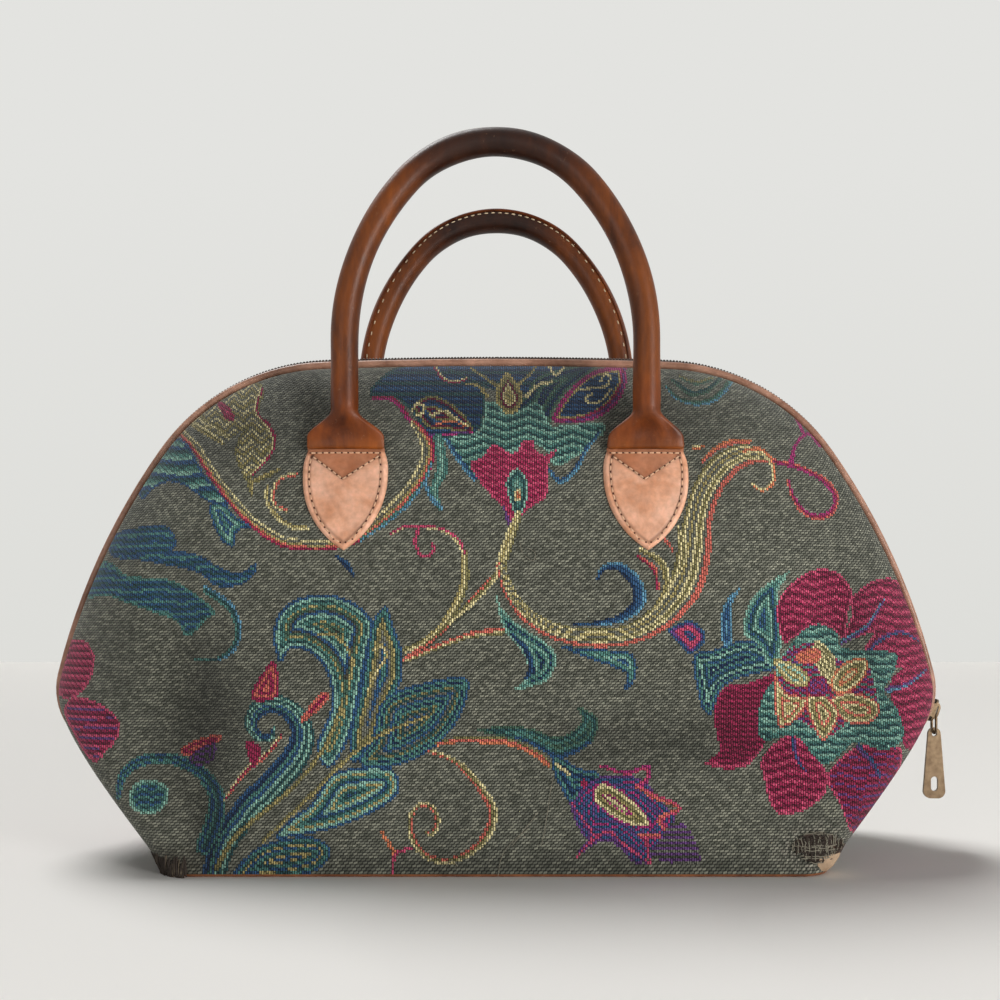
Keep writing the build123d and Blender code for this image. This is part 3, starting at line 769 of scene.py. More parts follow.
def stitch_net(side):
    """Corners of all the stitches, their places in the weave and the faces between them."""
    width = stitch_width * quick_factor
    heights, outs = middle_profile()
    lengths = np.concatenate([[0], np.cumsum(np.hypot(np.diff(heights), np.diff(outs)))])
    row_total = int(lengths[-1] / (row_height * quick_factor))
    row_at = np.interp(np.linspace(0, lengths[-1], row_total + 1), lengths, heights)
    points, ids, coords = [], [], []
    reach = int(longest_half_row / width)
    for row, z in enumerate(row_at):
        line = {}
        for half in (-1, 1):
            run, xs, out = slice_at(min(z, heights[-1] - 1e-3), half)
            inner = int(max(run[-1] - least_end_stitch * width, 0) / width)
            at = np.append(np.arange(inner + 1) * width, run[-1])
            x_at = np.interp(at, run, xs)
            out_at = np.interp(at, run, out)
            for step in range(1 if half == 1 else 0, len(at)):
                line[half * step] = len(points)
                sag = np.exp(-(z - panel_foot) / foot_reach)
                points.append((x_at[step], side * (out_at[step] + foot_bulge * sag), z - foot_sag * sag))
                coords.append((half * at[step] / stitch_width, row * quick_factor))
            line["end", half] = half * (len(at) - 1)
        left, right = line["end", -1], line["end", 1]
        ids.append([line[min(max(k, left), right)] for k in range(-reach, reach + 1)])
    ids = np.array(ids)
    quads = np.stack([ids[:-1, :-1], ids[:-1, 1:], ids[1:, 1:], ids[1:, :-1]], axis=-1).reshape(-1, 4)
    faces = []
    for quad in quads:
        kept = [v for i, v in enumerate(quad) if v != quad[i - 1]]
        if len(set(kept)) > 2:
            faces.append([int(v) for v in kept])
    return np.array(points), np.array(coords), facing(faces, side)


def stitched_panel(name, side):
    """One panel as a net of stitches; side is -1 for the front and 1 for the back."""
    points, coords, faces = stitch_net(side)
    item = make_mesh(name, points, faces)
    mesh = item.data
    centres = np.array([points[face].mean(axis=0) for face in faces])
    seen = centres * (-side, -side, 1)
    middles = np.array([coords[face].mean(axis=0) for face in faces])
    rows = np.floor(middles[:, 1])
    across = np.floor(middles[:, 0] * float_share + rows * float_shift)
    _, cells = np.unique(np.stack([rows, across], axis=1), axis=0, return_inverse=True)
    colours, motif = tapestry_colours(to_sheet(seen), cells.ravel())
    # Painted shade in the folds and along the edges
    paint_shade(colours, seen)
    wear_corners(colours, seen)
    counts = np.array([len(face) for face in faces])
    flat = np.concatenate(faces)
    layer = mesh.color_attributes.new("stitch", "FLOAT_COLOR", "CORNER")
    values = np.concatenate([colours, motif[:, None]], axis=1)
    layer.data.foreach_set("color", np.repeat(values, counts, axis=0).ravel())
    weave = mesh.uv_layers.new(name="weave")
    weave.data.foreach_set("uv", coords[flat].ravel())
    shade_smooth(item)
    return item


# Soft spots of painted shade on the cloth, in its folds, along the top and the foot and at the sides:
# (across, up, reach across, reach up) and strength
painted_shade_spots = (
    ((-128.0, 68.0, 20.0, 34.0), 0.6),
    ((-122.0, 20.0, 9.0, 22.0), 0.5),
    ((-100.0, 196.0, 50.0, 22.0), 0.4),
    ((0.0, 216.0, 80.0, 18.0), 0.4),
    ((70.0, 200.0, 70.0, 18.0), 0.34),
    ((0.0, 2.0, 150.0, 9.0), 0.4),
    ((70.0, 56.0, 50.0, 12.0), 0.36),
    ((162.0, 86.0, 14.0, 50.0), 0.34),
    ((-164.0, 96.0, 12.0, 50.0), 0.3),
)

# Rubbed corners: their spots, how much of the cloth's colour goes, and what shows instead
left_spot = (-140.0, 4.0, 12.0, 7.0)
left_fade, left_soil = 0.75, 0.6
left_dirt = (60, 48, 36)
right_spot = (136.0, 12.0, 14.0, 9.0)
right_fade = 0.7
right_pale, right_dark = (176, 170, 156), (40, 38, 34)
right_dark_share = 0.55


def soft_spot(places, across, up, wide, high):
    """How far each place is inside a soft spot, from 0 to 1, as a column."""
    reach = ((places[:, 0] - across) / wide) ** 2 + ((places[:, 2] - up) / high) ** 2
    return np.exp(-reach)[:, None]


def paint_shade(colours, places):
    """Paint shade into the folds and along the edges."""
    for spot, strength in painted_shade_spots:
        colours *= 1 - strength * soft_spot(places, *spot)


def wear_corners(colours, places):
    """Darken and fade the cloth where its lower corners are rubbed."""
    left = soft_spot(places, *left_spot)
    right = soft_spot(places, *right_spot)
    speckle = chance.random(len(places))[:, None]
    colours[:] = colours * (1 - left_fade * left) + left * left_soil * linear(left_dirt)
    rubbed = np.where(speckle > right_dark_share, linear(right_pale), linear(right_dark))
    colours[:] = colours * (1 - right_fade * right) + right_fade * right * rubbed


# Materials
def new_material(name):
    """A node material, with its tree and its shader."""
    material = bpy.data.materials.new(name)
    material.use_nodes = True
    tree = material.node_tree
    return material, tree, tree.nodes["Principled BSDF"]


def fill(tree, item, inputs):
    """Give each named input of a node a value, or another node's output."""
    for key, value in inputs.items():
        if isinstance(value, bpy.types.NodeSocket):
            tree.links.new(value, item.inputs[key])
        else:
            item.inputs[key].default_value = value


def node(tree, kind, inputs=None, **settings):
    """Add a node, with its settings and inputs."""
    item = tree.nodes.new(kind)
    for key, value in settings.items():
        setattr(item, key, value)
    fill(tree, item, inputs or {})
    return item


def sums(tree, operation, *values):
    """A maths node's output."""
    return node(tree, "ShaderNodeMath", dict(enumerate(values)), operation=operation).outputs[0]


def times(tree, first, second):
    """Two values multiplied."""
    return sums(tree, "MULTIPLY", first, second)


def ridges(tree, value):
    """Rounded ridges, one to each whole step of a value."""
    return sums(tree, "ABSOLUTE", sums(tree, "SINE", times(tree, value, pi)))


def object_place(tree):
    """The place on the object, in its own coordinates."""
    return node(tree, "ShaderNodeTexCoord").outputs["Object"]


def noise(tree, place, scale, detail, **inputs):
    """A noise texture's value."""
    inputs.update(Vector=place, Scale=scale, Detail=detail)
    return node(tree, "ShaderNodeTexNoise", inputs).outputs[0]


def spread(tree, value, low, high, bottom=0.0, top=1.0):
    """A value stretched from between low and high to between bottom and top."""
    return node(tree, "ShaderNodeMapRange", {0: value, 1: low, 2: high, 3: bottom, 4: top}).outputs[0]


def relief(tree, height, strength, distance):
    """The normal of a bumpy surface; the distance is in metres."""
    inputs = {"Height": height, "Strength": strength, "Distance": distance}
    return node(tree, "ShaderNodeBump", inputs).outputs[0]


def mix_colour(tree, factor, first, second, blend="MIX"):
    """A colour mix's output."""
    item = node(tree, "ShaderNodeMix", data_type="RGBA", blend_type=blend)
    for key, value in (("Factor", factor), ("A", first), ("B", second)):
        socket = [s for s in item.inputs if s.name == key and (key == "Factor" or s.type == "RGBA")][0]
        if isinstance(value, bpy.types.NodeSocket):
            tree.links.new(value, socket)
        else:
            socket.default_value = (*value, 1.0) if key != "Factor" and len(value) == 3 else value
    return [s for s in item.outputs if s.type == "RGBA"][0]


def darken(tree, colour, shade):
    """A colour multiplied by a grey shade."""
    grey = node(tree, "ShaderNodeCombineColor", {0: shade, 1: shade, 2: shade})
    return mix_colour(tree, 1.0, colour, grey.outputs[0], "MULTIPLY")


def seen_rays(tree):
    """1 for the rays that show a thing to the camera, and 0 for those that light other things."""
    path = node(tree, "ShaderNodeLightPath").outputs
    rays = sums(tree, "MAXIMUM", path["Is Camera Ray"], path["Is Glossy Ray"])
    return sums(tree, "MAXIMUM", rays, path["Is Transmission Ray"])


def float_top(tree, value, end):
    """The flat top of a row of floats, which falls at each end."""
    return sums(tree, "MINIMUM", times(tree, ridges(tree, value), end), 1.0)


def tapestry_material():
    """Stitch colours from the mesh, under rows of floats that are raised, with painted shade between them and
    painted light on their tops.
    """
    material, tree, shader = new_material("tapestry")
    stitch = node(tree, "ShaderNodeVertexColor", layer_name="stitch")
    weave = node(tree, "ShaderNodeUVMap", uv_map="weave")
    parts = node(tree, "ShaderNodeSeparateXYZ", {0: weave.outputs[0]})
    across, up = parts.outputs[0], parts.outputs[1]
    shift = times(tree, sums(tree, "FLOOR", up), float_shift)
    brick = sums(tree, "ADD", times(tree, across, float_share), shift)
    tilt = times(tree, sums(tree, "SUBTRACT", sums(tree, "FRACT", brick), 0.5), float_tilt)
    slant = ridges(tree, sums(tree, "SUBTRACT", up, tilt))
    plain_height = times(tree, slant, float_top(tree, brick, float_end))
    column = times(tree, sums(tree, "FLOOR", across), motif_float_shift)
    lean = sums(tree, "ADD", times(tree, up, motif_float_share), column)
    motif_height = times(tree, ridges(tree, across), float_top(tree, lean, motif_float_end))
    heights = {"Factor": stitch.outputs["Alpha"], "A": plain_height, "B": motif_height}
    height = node(tree, "ShaderNodeMix", heights, data_type="FLOAT").outputs[0]
    place = object_place(tree)
    fuzz = noise(tree, place, scale=2600.0, detail=3.0)
    cloud = noise(tree, place, scale=28.0, detail=4.0)
    # Painted shade and light by the floats' height: nearly black between them, brighter on their tops
    dark = spread(tree, height, 0.0, 0.85, bottom=0.06, top=1.32)
    worn = spread(tree, cloud, 0.3, 0.7, bottom=0.9, top=1.1)
    fibre = spread(tree, fuzz, 0.3, 0.7, bottom=0.88, top=1.12)
    shade = times(tree, times(tree, dark, worn), fibre)
    fluffy = sums(tree, "ADD", height, times(tree, fuzz, 0.35))
    look = {
        "Base Color": darken(tree, stitch.outputs["Color"], shade),
        "Normal": relief(tree, fluffy, strength=0.8, distance=0.0005),
        "Roughness": 0.86,
        "Specular IOR Level": 0.2,
        "Sheen Weight": 0.12,
        "Sheen Roughness": 0.5,
    }
    fill(tree, shader, look)
    return material


scuff_colour = (196, 170, 140)


def leather_material(name, light, dark, roughness=0.48, grain=900.0, toned=False, streaks=1.0):
    """Mottled smooth leather; a toned one is darkened by its mesh's own tone."""
    material, tree, shader = new_material(name)
    spot = object_place(tree)
    stretched = node(tree, "ShaderNodeMapping", {0: spot, "Scale": (1.0, 1.0, streaks)}).outputs[0]
    broad = noise(tree, stretched, scale=70.0, detail=5.0, Roughness=0.6, Distortion=0.4)
    fine = noise(tree, stretched, scale=420.0, detail=4.0)
    nicks = noise(tree, spot, scale=310.0, detail=8.0, Roughness=0.7)
    pores = node(tree, "ShaderNodeTexVoronoi", {"Vector": spot, "Scale": grain}).outputs[0]
    base = mix_colour(tree, spread(tree, broad, 0.34, 0.66), tuple(linear(dark)), tuple(linear(light)))
    if toned:
        tone = node(tree, "ShaderNodeVertexColor", layer_name="tone")
        base = mix_colour(tree, 1.0, base, tone.outputs["Color"], "MULTIPLY")
    base = darken(tree, base, spread(tree, fine, 0.3, 0.7, bottom=0.86, top=1.1))
    pale = tuple(0.5 * linear(light) + 0.5 * linear(scuff_colour))
    scuffs = spread(tree, nicks, 0.63, 0.74, bottom=0.0, top=0.4)
    height = sums(tree, "ADD", times(tree, pores, 0.3), fine)
    look = {
        "Base Color": mix_colour(tree, scuffs, base, pale),
        "Roughness": spread(tree, broad, 0.3, 0.7, bottom=roughness - 0.1, top=roughness + 0.1),
        "Normal": relief(tree, height, strength=0.3, distance=0.0004),
        "Specular IOR Level": 0.26,
    }
    fill(tree, shader, look)
    return material


def cloth_material(name, colour, scale=1400.0):
    """Plain woven cloth, seen as fine crossed threads."""
    material, tree, shader = new_material(name)
    place = object_place(tree)
    parts = node(tree, "ShaderNodeSeparateXYZ", {0: place}).outputs
    level = sums(tree, "ADD", parts[0], parts[2])
    along = sums(tree, "SINE", times(tree, level, scale * 4))
    over = sums(tree, "SINE", times(tree, parts[1], scale * 5))
    shade = spread(tree, noise(tree, place, scale=300.0, detail=4.0), 0.3, 0.7, bottom=0.75, top=1.2)
    look = {
        "Base Color": darken(tree, tuple(linear(colour)), shade),
        "Normal": relief(tree, times(tree, along, over), strength=0.4, distance=0.0003),
        "Roughness": 0.85,
    }
    fill(tree, shader, look)
    return material


def metal_material(name, bright, dull):
    """Worn bronze-brown metal, brighter where it is rubbed."""
    material, tree, shader = new_material(name)
    mottle = noise(tree, object_place(tree), scale=420.0, detail=5.0)
    rubbed = spread(tree, mottle, 0.25, 0.75)
    look = {
        "Base Color": mix_colour(tree, rubbed, tuple(linear(dull)), tuple(linear(bright))),
        "Roughness": spread(tree, mottle, 0.3, 0.7, bottom=0.5, top=0.32),
        "Metallic": 0.85,
    }
    fill(tree, shader, look)
    return material


wall_fade_height = 1.3


def wall_material(name, top, bottom):
    """A backdrop that the camera sees in its own pale colours, and that is lit as a plain wall otherwise."""
    material, tree, shader = new_material(name)
    fill(tree, shader, {"Base Color": (*linear(bottom), 1.0), "Roughness": 0.9})
    up = node(tree, "ShaderNodeSeparateXYZ", {0: object_place(tree)}).outputs[2]
    share = spread(tree, up, 0.0, wall_fade_height)
    shown_colour = mix_colour(tree, share, tuple(linear(bottom)), tuple(linear(top)))
    glow = node(tree, "ShaderNodeEmission", {"Color": shown_colour, "Strength": 1.0})
    both = node(tree, "ShaderNodeMixShader", {0: seen_rays(tree), 1: shader.outputs[0], 2: glow.outputs[0]})
    fill(tree, tree.nodes["Material Output"], {"Surface": both.outputs[0]})
    return material


def floor_material(name, colour):
    """A matt floor of one colour."""
    material, tree, shader = new_material(name)
    fill(tree, shader, {"Base Color": (*linear(colour), 1.0), "Roughness": 0.9, "Specular IOR Level": 0.1})
    return material


tapestry = tapestry_material()
handle_leather = leather_material(
    "handle_leather", (146, 76, 22), (76, 34, 8), roughness=0.42, toned=True, streaks=0.3
)
tab_leather = leather_material("tab_leather", (232, 180, 152), (202, 140, 104), roughness=0.5, toned=True)
piping_leather = leather_material("piping_leather", (184, 140, 118), (132, 92, 72), roughness=0.36)
base_leather = leather_material("base_leather", (150, 96, 62), (104, 62, 40), roughness=0.6)
raw_leather = leather_material("raw_leather", (198, 172, 144), (160, 132, 106), roughness=0.8, grain=500.0)
tape_cloth = cloth_material("tape_cloth", (58, 42, 34))
lining = cloth_material("lining", (96, 82, 62))
board = cloth_material("board", (120, 96, 70))
cord = cloth_material("cord", (190, 176, 150))
coil_dark = leather_material("coil_dark", (74, 54, 42), (44, 33, 27), roughness=0.35, grain=600.0)
bronze = metal_material("bronze", (132, 112, 88), (92, 74, 56))

fine_weave = 3000.0
thread = cloth_material("thread", (226, 184, 150), fine_weave)
thread_pale = cloth_material("thread_pale", (212, 190, 158), fine_weave)
thread_dark = cloth_material("thread_dark", (84, 46, 28), fine_weave)
fray_dark = cloth_material("fray_dark", (52, 42, 34), fine_weave)
fray_brown = cloth_material("fray_brown", (96, 84, 68), fine_weave)
fray_pale = cloth_material("fray_pale", (136, 130, 114), fine_weave)


def give(item, material):
    """Give an object one material."""
    item.data.materials.clear()
    item.data.materials.append(material)


# Lining: how far it lies inside the tapestry, and how its coarse grid is laid
lining_inset = 2.4
lining_thickness = 0.8
lining_rows = 60
lining_foot_gap = 0.5
lining_top_gap = 4.0
lining_least_out = 0.2


def lining_mesh(name, side):
    """The lining of one panel: the same sagging shape, set in and coarser."""
    heights, _ = middle_profile()
    points = []
    across = np.linspace(0, 1, lining_rows)
    rows = np.linspace(panel_foot + lining_foot_gap, heights[-1] - lining_top_gap, lining_rows)
    for z in rows:
        for half, shares in ((-1, across[::-1]), (1, across[1:])):
            run, xs, out = slice_at(z, half)
            at = shares * run[-1]
            x_at = np.interp(at, run, xs)
            out_at = np.maximum(np.interp(at, run, out) - lining_inset, lining_least_out)
            squeeze = 1 - 2.0 * lining_inset / np.abs(xs).max()
            points.extend((x * squeeze, side * o, z) for x, o in zip(x_at, out_at))
    item = make_mesh(name, points, facing(grid_faces(len(rows), 2 * len(across) - 1), side))
    shade_smooth(item)
    shell = item.modifiers.new("thickness", "SOLIDIFY")
    shell.thickness = lining_thickness * MM
    shell.offset = -1.0
    return item


for piece, side in sides:
    panel = stitched_panel(f"tapestry_{piece}", side)
    give(panel, tapestry)
    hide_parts(f"{piece}_panel")
    inner = lining_mesh(f"lining_cloth_{piece}", side)
    give(inner, lining)
    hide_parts(f"lining_{piece}")
    for item in (panel, inner):
        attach(item, "bag")


# Leather handles: a rolled tube on two flat shoulders, with the seam that closes it
tab_gap = 0.85
leg_top = hinge_height + neck_length + handle_straight
crown_across = handle_crown_radius * sin(handle_crown_angle)
crown_drop = handle_crown_radius * (1 - cos(handle_crown_angle))
leg_across = crown_across + handle_side_radius * (1 - sin(handle_crown_angle))
arch_rise = crown_drop + handle_side_radius * cos(handle_crown_angle)
arch = walk(
    leg_top + arch_rise,
    [(handle_crown_radius, handle_crown_angle), (handle_side_radius, pi / 2 - handle_crown_angle)],
)
hinge_out = -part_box("front_handle")[0][1] / MM - handle_stand - handle_radius
tab_top = hinge_height - shoulder_thickness / 2 - tab_gap

# Stations down a handle, and the points around it
arc_stations = 26
leg_stations = 12
neck_stations = 34
end_drops = (0.55, 1.0, 1.35, 1.6, 1.7)
handle_around = 56

# Form of the necks, by height above the stitch line
flare_start, flare_length = 3.0, 12.0
thin_length = 17.0
rim_narrowing = 1.2
shoulder_squareness = 0.25
pinch_depth, pinch_width, pinch_length = 1.5, 5.5, 13.0
pleat_depth, pleat_length = 0.45, 15.0
pleats = ((-0.62, 1.3), (0.66, 1.5))
waves = ((0.012, 70), (0.01, 31))

# Tone of the leather: where the tube, the crown and the necks darken, and how much
tube_dark, tube_start = 0.28, 205.0
crown_dark, crown_start = 0.62, 292.0
dark_length = 26.0
neck_dark, neck_spot = 0.34, 7.0
neck_dark_start, neck_dark_rise = -2.0, 8.0
neck_dark_end, neck_dark_fade = 16.0, 22.0
mottle_depth, mottle_turns = 0.1, 47


def ease(value):
    """A smooth step from 0 to 1."""
    value = np.clip(value, 0, 1)
    return value * value * (3 - 2 * value)


def handle_stations():
    """Places down the handle: x, z and the outward direction's x and z."""
    half = []
    for centre, radius, start, sweep in arch:
        for turn in np.linspace(start, start + sweep, arc_stations, endpoint=False):
            dx, dz = sin(turn), cos(turn)
            half.append((centre[0] + radius * dx, centre[1] + radius * dz, dx, dz))
    leg = list(np.linspace(leg_top, hinge_height + neck_length, leg_stations, endpoint=False))
    leg += list(hinge_height + np.linspace(neck_length, 0, neck_stations))
    leg += [hinge_height - drop for drop in end_drops]
    half += [(leg_across, z, 1.0, 0.0) for z in leg]
    left = [(-x, z, -dx, dz) for x, z, dx, dz in half[:0:-1]]
    return np.array(left + half)


def neck_dip(a, wide, height):
    """How deep the pinch and the two pleats of a neck lie, at a place across it."""
    dip = pinch_depth * np.exp(-((a / pinch_width) ** 2)) * sin(pi * min(height / pinch_length, 1)) ** 2
    pleat = sum(np.exp(-(((a - share * wide) / width) ** 2)) for share, width in pleats)
    return dip + pleat_depth * pleat * sin(pi * min(height / pleat_length, 1))


def handle_mesh(name, side):
    """The leather of one handle as a closed skin; side is -1 for the front and 1 for the back."""
    stations = handle_stations()
    points, tones = [], []
    turns = np.linspace(0, 2 * pi, handle_around, endpoint=False)
    lumps = chance.random(4) * 6
    for index, (x, z, dx, dz) in enumerate(stations):
        height = z - hinge_height
        flare = 1 - ease((height - flare_start) / flare_length) if height > 0 else 1.0
        if height >= neck_length:
            flare = 0.0
        thin = 1 - ease(height / thin_length) if height < neck_length else 0.0
        below = max(-height, 0) / (shoulder_thickness / 2)
        rim = max(1 - below**2, 0.02) ** 0.5
        wide = handle_radius + flare * (shoulder_half - handle_radius) - (1 - rim) * rim_narrowing
        deep = (handle_radius - thin * (handle_radius - shoulder_thickness / 2)) * rim
        along = index / len(stations)
        wave = sum((size * sin(along * count + lump) for (size, count), lump in zip(waves, lumps)), 1)
        centre_out = hinge_out + handle_stand * (1 - thin)
        power = 1 - shoulder_squareness * flare
        crown = ease((z - crown_start) / dark_length)
        tube = ease((z - tube_start) / dark_length)
        neck = ease((height - neck_dark_start) / neck_dark_rise)
        neck *= 1 - ease((height - neck_dark_end) / neck_dark_fade)
        warm = 0.9 + 0.1 * (1 - crown)
        for turn in turns:
            c, n = cos(turn), sin(turn)
            a = wide * wave * np.sign(c) * abs(c) ** power
            b = deep * wave * np.sign(n) * abs(n)
            dip = neck_dip(a, wide, height) if n > 0 and 0 < height < neck_length else 0.0
            points.append((x + a * dx, side * (centre_out + b - dip), z + a * dz))
            middle = 0.6 + 0.4 * np.exp(-((a / neck_spot) ** 2))
            tone = 1 - tube_dark * tube - crown_dark * crown - neck_dark * neck * middle
            tone *= 1 + mottle_depth * sin(along * mottle_turns + lumps[2]) * sin(turn * 2 + lumps[3])
            tones.append((tone, tone * warm * (1 - 0.14 * neck), tone * warm * (1 - 0.4 * neck), 1))
    item = make_mesh(name, points, facing(tube_faces(len(stations), handle_around), side))
    set_tones(item, tones)
    shade_smooth(item)
    return item


def set_tones(item, tones):
    """Store the tone of each point."""
    layer = item.data.color_attributes.new("tone", "FLOAT_COLOR", "POINT")
    layer.data.foreach_set("color", np.array(tones, float).ravel())


# A bead: its rings' places along it and their sizes, as shares
bead_rings = ((-0.5, 0.25), (-0.36, 0.9), (0.0, 1.0), (0.36, 0.9), (0.5, 0.25))
bead_around = 6


def beads(name, places, directions, length, radius):
    """Small rounded stitches or teeth, each at a place and along a direction."""
    points, faces = [], []
    for place, direction in zip(places, directions):
        along = Vector(direction).normalized()
        first = along.orthogonal().normalized()
        second = along.cross(first)
        faces += tube_faces(len(bead_rings), bead_around, len(points))
        for share, size in bead_rings:
            spot = Vector(place) + along * (share * length)
            for k in range(bead_around):
                turn = k * 2 * pi / bead_around
                points.append(spot + (first * cos(turn) + second * sin(turn)) * (radius * size))
    item = make_mesh(name, points, faces)
    shade_smooth(item)
    return item


# The closing seam: section across and out, the direction it faces inward, and its stitches
seam_profile = ((-0.75, -0.6), (-0.6, 0.75), (-0.15, 0.95), (0.15, 0.95), (0.6, 0.75), (0.75, -0.6))
seam_outward, seam_inward = 0.6, 0.8
seam_clear_of_neck = 2.0
seam_tone = (0.5, 0.42, 0.36, 1)
seam_stitch_turn = (0.34, 0.94)
seam_stitch_pitch = 3.0
seam_stitch_length = 2.0
seam_stitch_radius = 0.34
seam_stitch_lift = 0.1


def seam_mesh(name, side):
    """The raw edge of the seam that closes the roll, on the side of the handle that faces its twin."""
    lowest = hinge_height + neck_length + seam_clear_of_neck
    stations = [station for station in handle_stations() if station[1] > lowest]
    points, places, directions = [], [], []
    centre_out = hinge_out + handle_stand
    stitch_reach = handle_radius + seam_stitch_lift
    stitch_a, stitch_b = stitch_reach * seam_stitch_turn[0], stitch_reach * seam_stitch_turn[1]
    gone = 0.0
    for index, (x, z, dx, dz) in enumerate(stations):
        for wide, high in seam_profile:
            reach = handle_radius + high
            a = reach * seam_outward - wide * seam_inward
            b = reach * seam_inward + wide * seam_outward
            points.append((x + a * dx, side * (centre_out - b), z + a * dz))
        if index:
            before = stations[index - 1]
            step = np.array((x - before[0], 0, z - before[1]))
            gone += np.linalg.norm(step)
            if gone > seam_stitch_pitch:
                gone = 0.0
                places.append((x + stitch_a * dx, side * (centre_out - stitch_b), z + stitch_a * dz))
                directions.append(step)
    around = len(seam_profile)
    faces = grid_faces(len(stations), around)
    faces.append(tuple(range(around)))
    faces.append(tuple(range(len(points) - around, len(points)))[::-1])
    item = make_mesh(name, points, facing(faces, side))
    set_tones(item, [seam_tone] * len(points))
    return item, beads(f"{name}_stitches", places, directions, seam_stitch_length, seam_stitch_radius)


for piece, side in sides:
    skin = handle_mesh(f"handle_leather_{piece}", side)
    give(skin, handle_leather)
    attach(skin, f"handle_{piece}")
    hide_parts(f"{piece}_handle")
    seam, seam_stitches = seam_mesh(f"handle_seam_{piece}", side)
    give(seam, handle_leather)
    give(seam_stitches, thread_pale)
    for item in (seam, seam_stitches):
        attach(item, f"handle_{piece}")


# Leaf tabs, sewn on with pale thread
def circle_through(first, second, third):
    """Centre and radius of the circle through three points."""
    (ax, ay), (bx, by), (cx, cy) = first, second, third
    d = 2 * (ax * (by - cy) + bx * (cy - ay) + cx * (ay - by))
    x = ((ax**2 + ay**2) * (by - cy) + (bx**2 + by**2) * (cy - ay) + (cx**2 + cy**2) * (ay - by)) / d
    y = ((ax**2 + ay**2) * (cx - bx) + (bx**2 + by**2) * (ax - cx) + (cx**2 + cy**2) * (bx - ax)) / d
    return (x, y), ((ax - x) ** 2 + (ay - y) ** 2) ** 0.5


# The leaf's half outline as (half width, drop), in two arcs that meet where it is widest
tab_end = tab_length - 0.8
leaf_widest = 11.0
leaf_upper = ((17.0, 0.0), (18.5, 5.5), (tab_half, leaf_widest))
leaf_lower = ((tab_half, leaf_widest), (13.5, 30.6), (0.0, tab_end))


def leaf_half_width(drop):
    """Half of the leaf's width at a drop below its top edge."""
    centre, radius = circle_through(*(leaf_upper if drop < leaf_widest else leaf_lower))
    return max(centre[0] + max(radius**2 - (drop - centre[1]) ** 2, 0) ** 0.5, 0.02)


tab_rim = np.array([(leaf_half_width(d), d) for d in np.linspace(0, tab_end, 120)])
tab_rim = np.vstack([tab_rim, tab_rim[::-1] * (-1, 1)])

# The leaf's stitch lines: the notch of raw leather, the top row, and the row along the rim
vee_half, vee_top = 14.6, 2.4
vee_across, vee_drop = -0.8, 12.8
tab_vee = ((-vee_half, vee_top), (vee_across, vee_drop), (vee_half, vee_top))
vee_slope = 0.7
top_row_drop = 0.9
rim_row_inset = 3.0

# The leaf's skin: the lip over its top edge, its dome, its foot in the cloth, its grid, grooves and tones
lip_drops = (-1.4, -0.9)
lip_fall = 0.5
dome_height, dome_reach = 0.5, 14.0
edge_round = 1.3
tab_lift = 0.1
tab_foot = 0.3
tab_rows_down, tab_columns = 76, 65
groove_half = 0.6
rim_groove, vee_groove, top_groove = 0.34, 0.3, 0.26
# Painted shade along the rim's stitch groove and the notch, and a painted highlight just inside the rounded
# rim
rim_shadow, vee_shadow, rim_highlight = 0.42, 0.4, 0.14
vee_tone = (0.6, 0.76, 0.6)
foot_tone = (0.6, 0.5, 0.45, 1)


def tab_height(places):
    """The leaf's height over the cloth, before its grooves, and how far the rim is."""
    to_rim, _, _, _ = nearest(places, tab_rim)
    edge = np.clip(to_rim / edge_round, 0, 1) ** 0.5
    return tab_thickness * edge + dome_height * ease(to_rim / dome_reach), to_rim


def near_line(gap, half):
    """1 on a line, falling softly with the gap to it."""
    return np.exp(-((gap / half) ** 2))


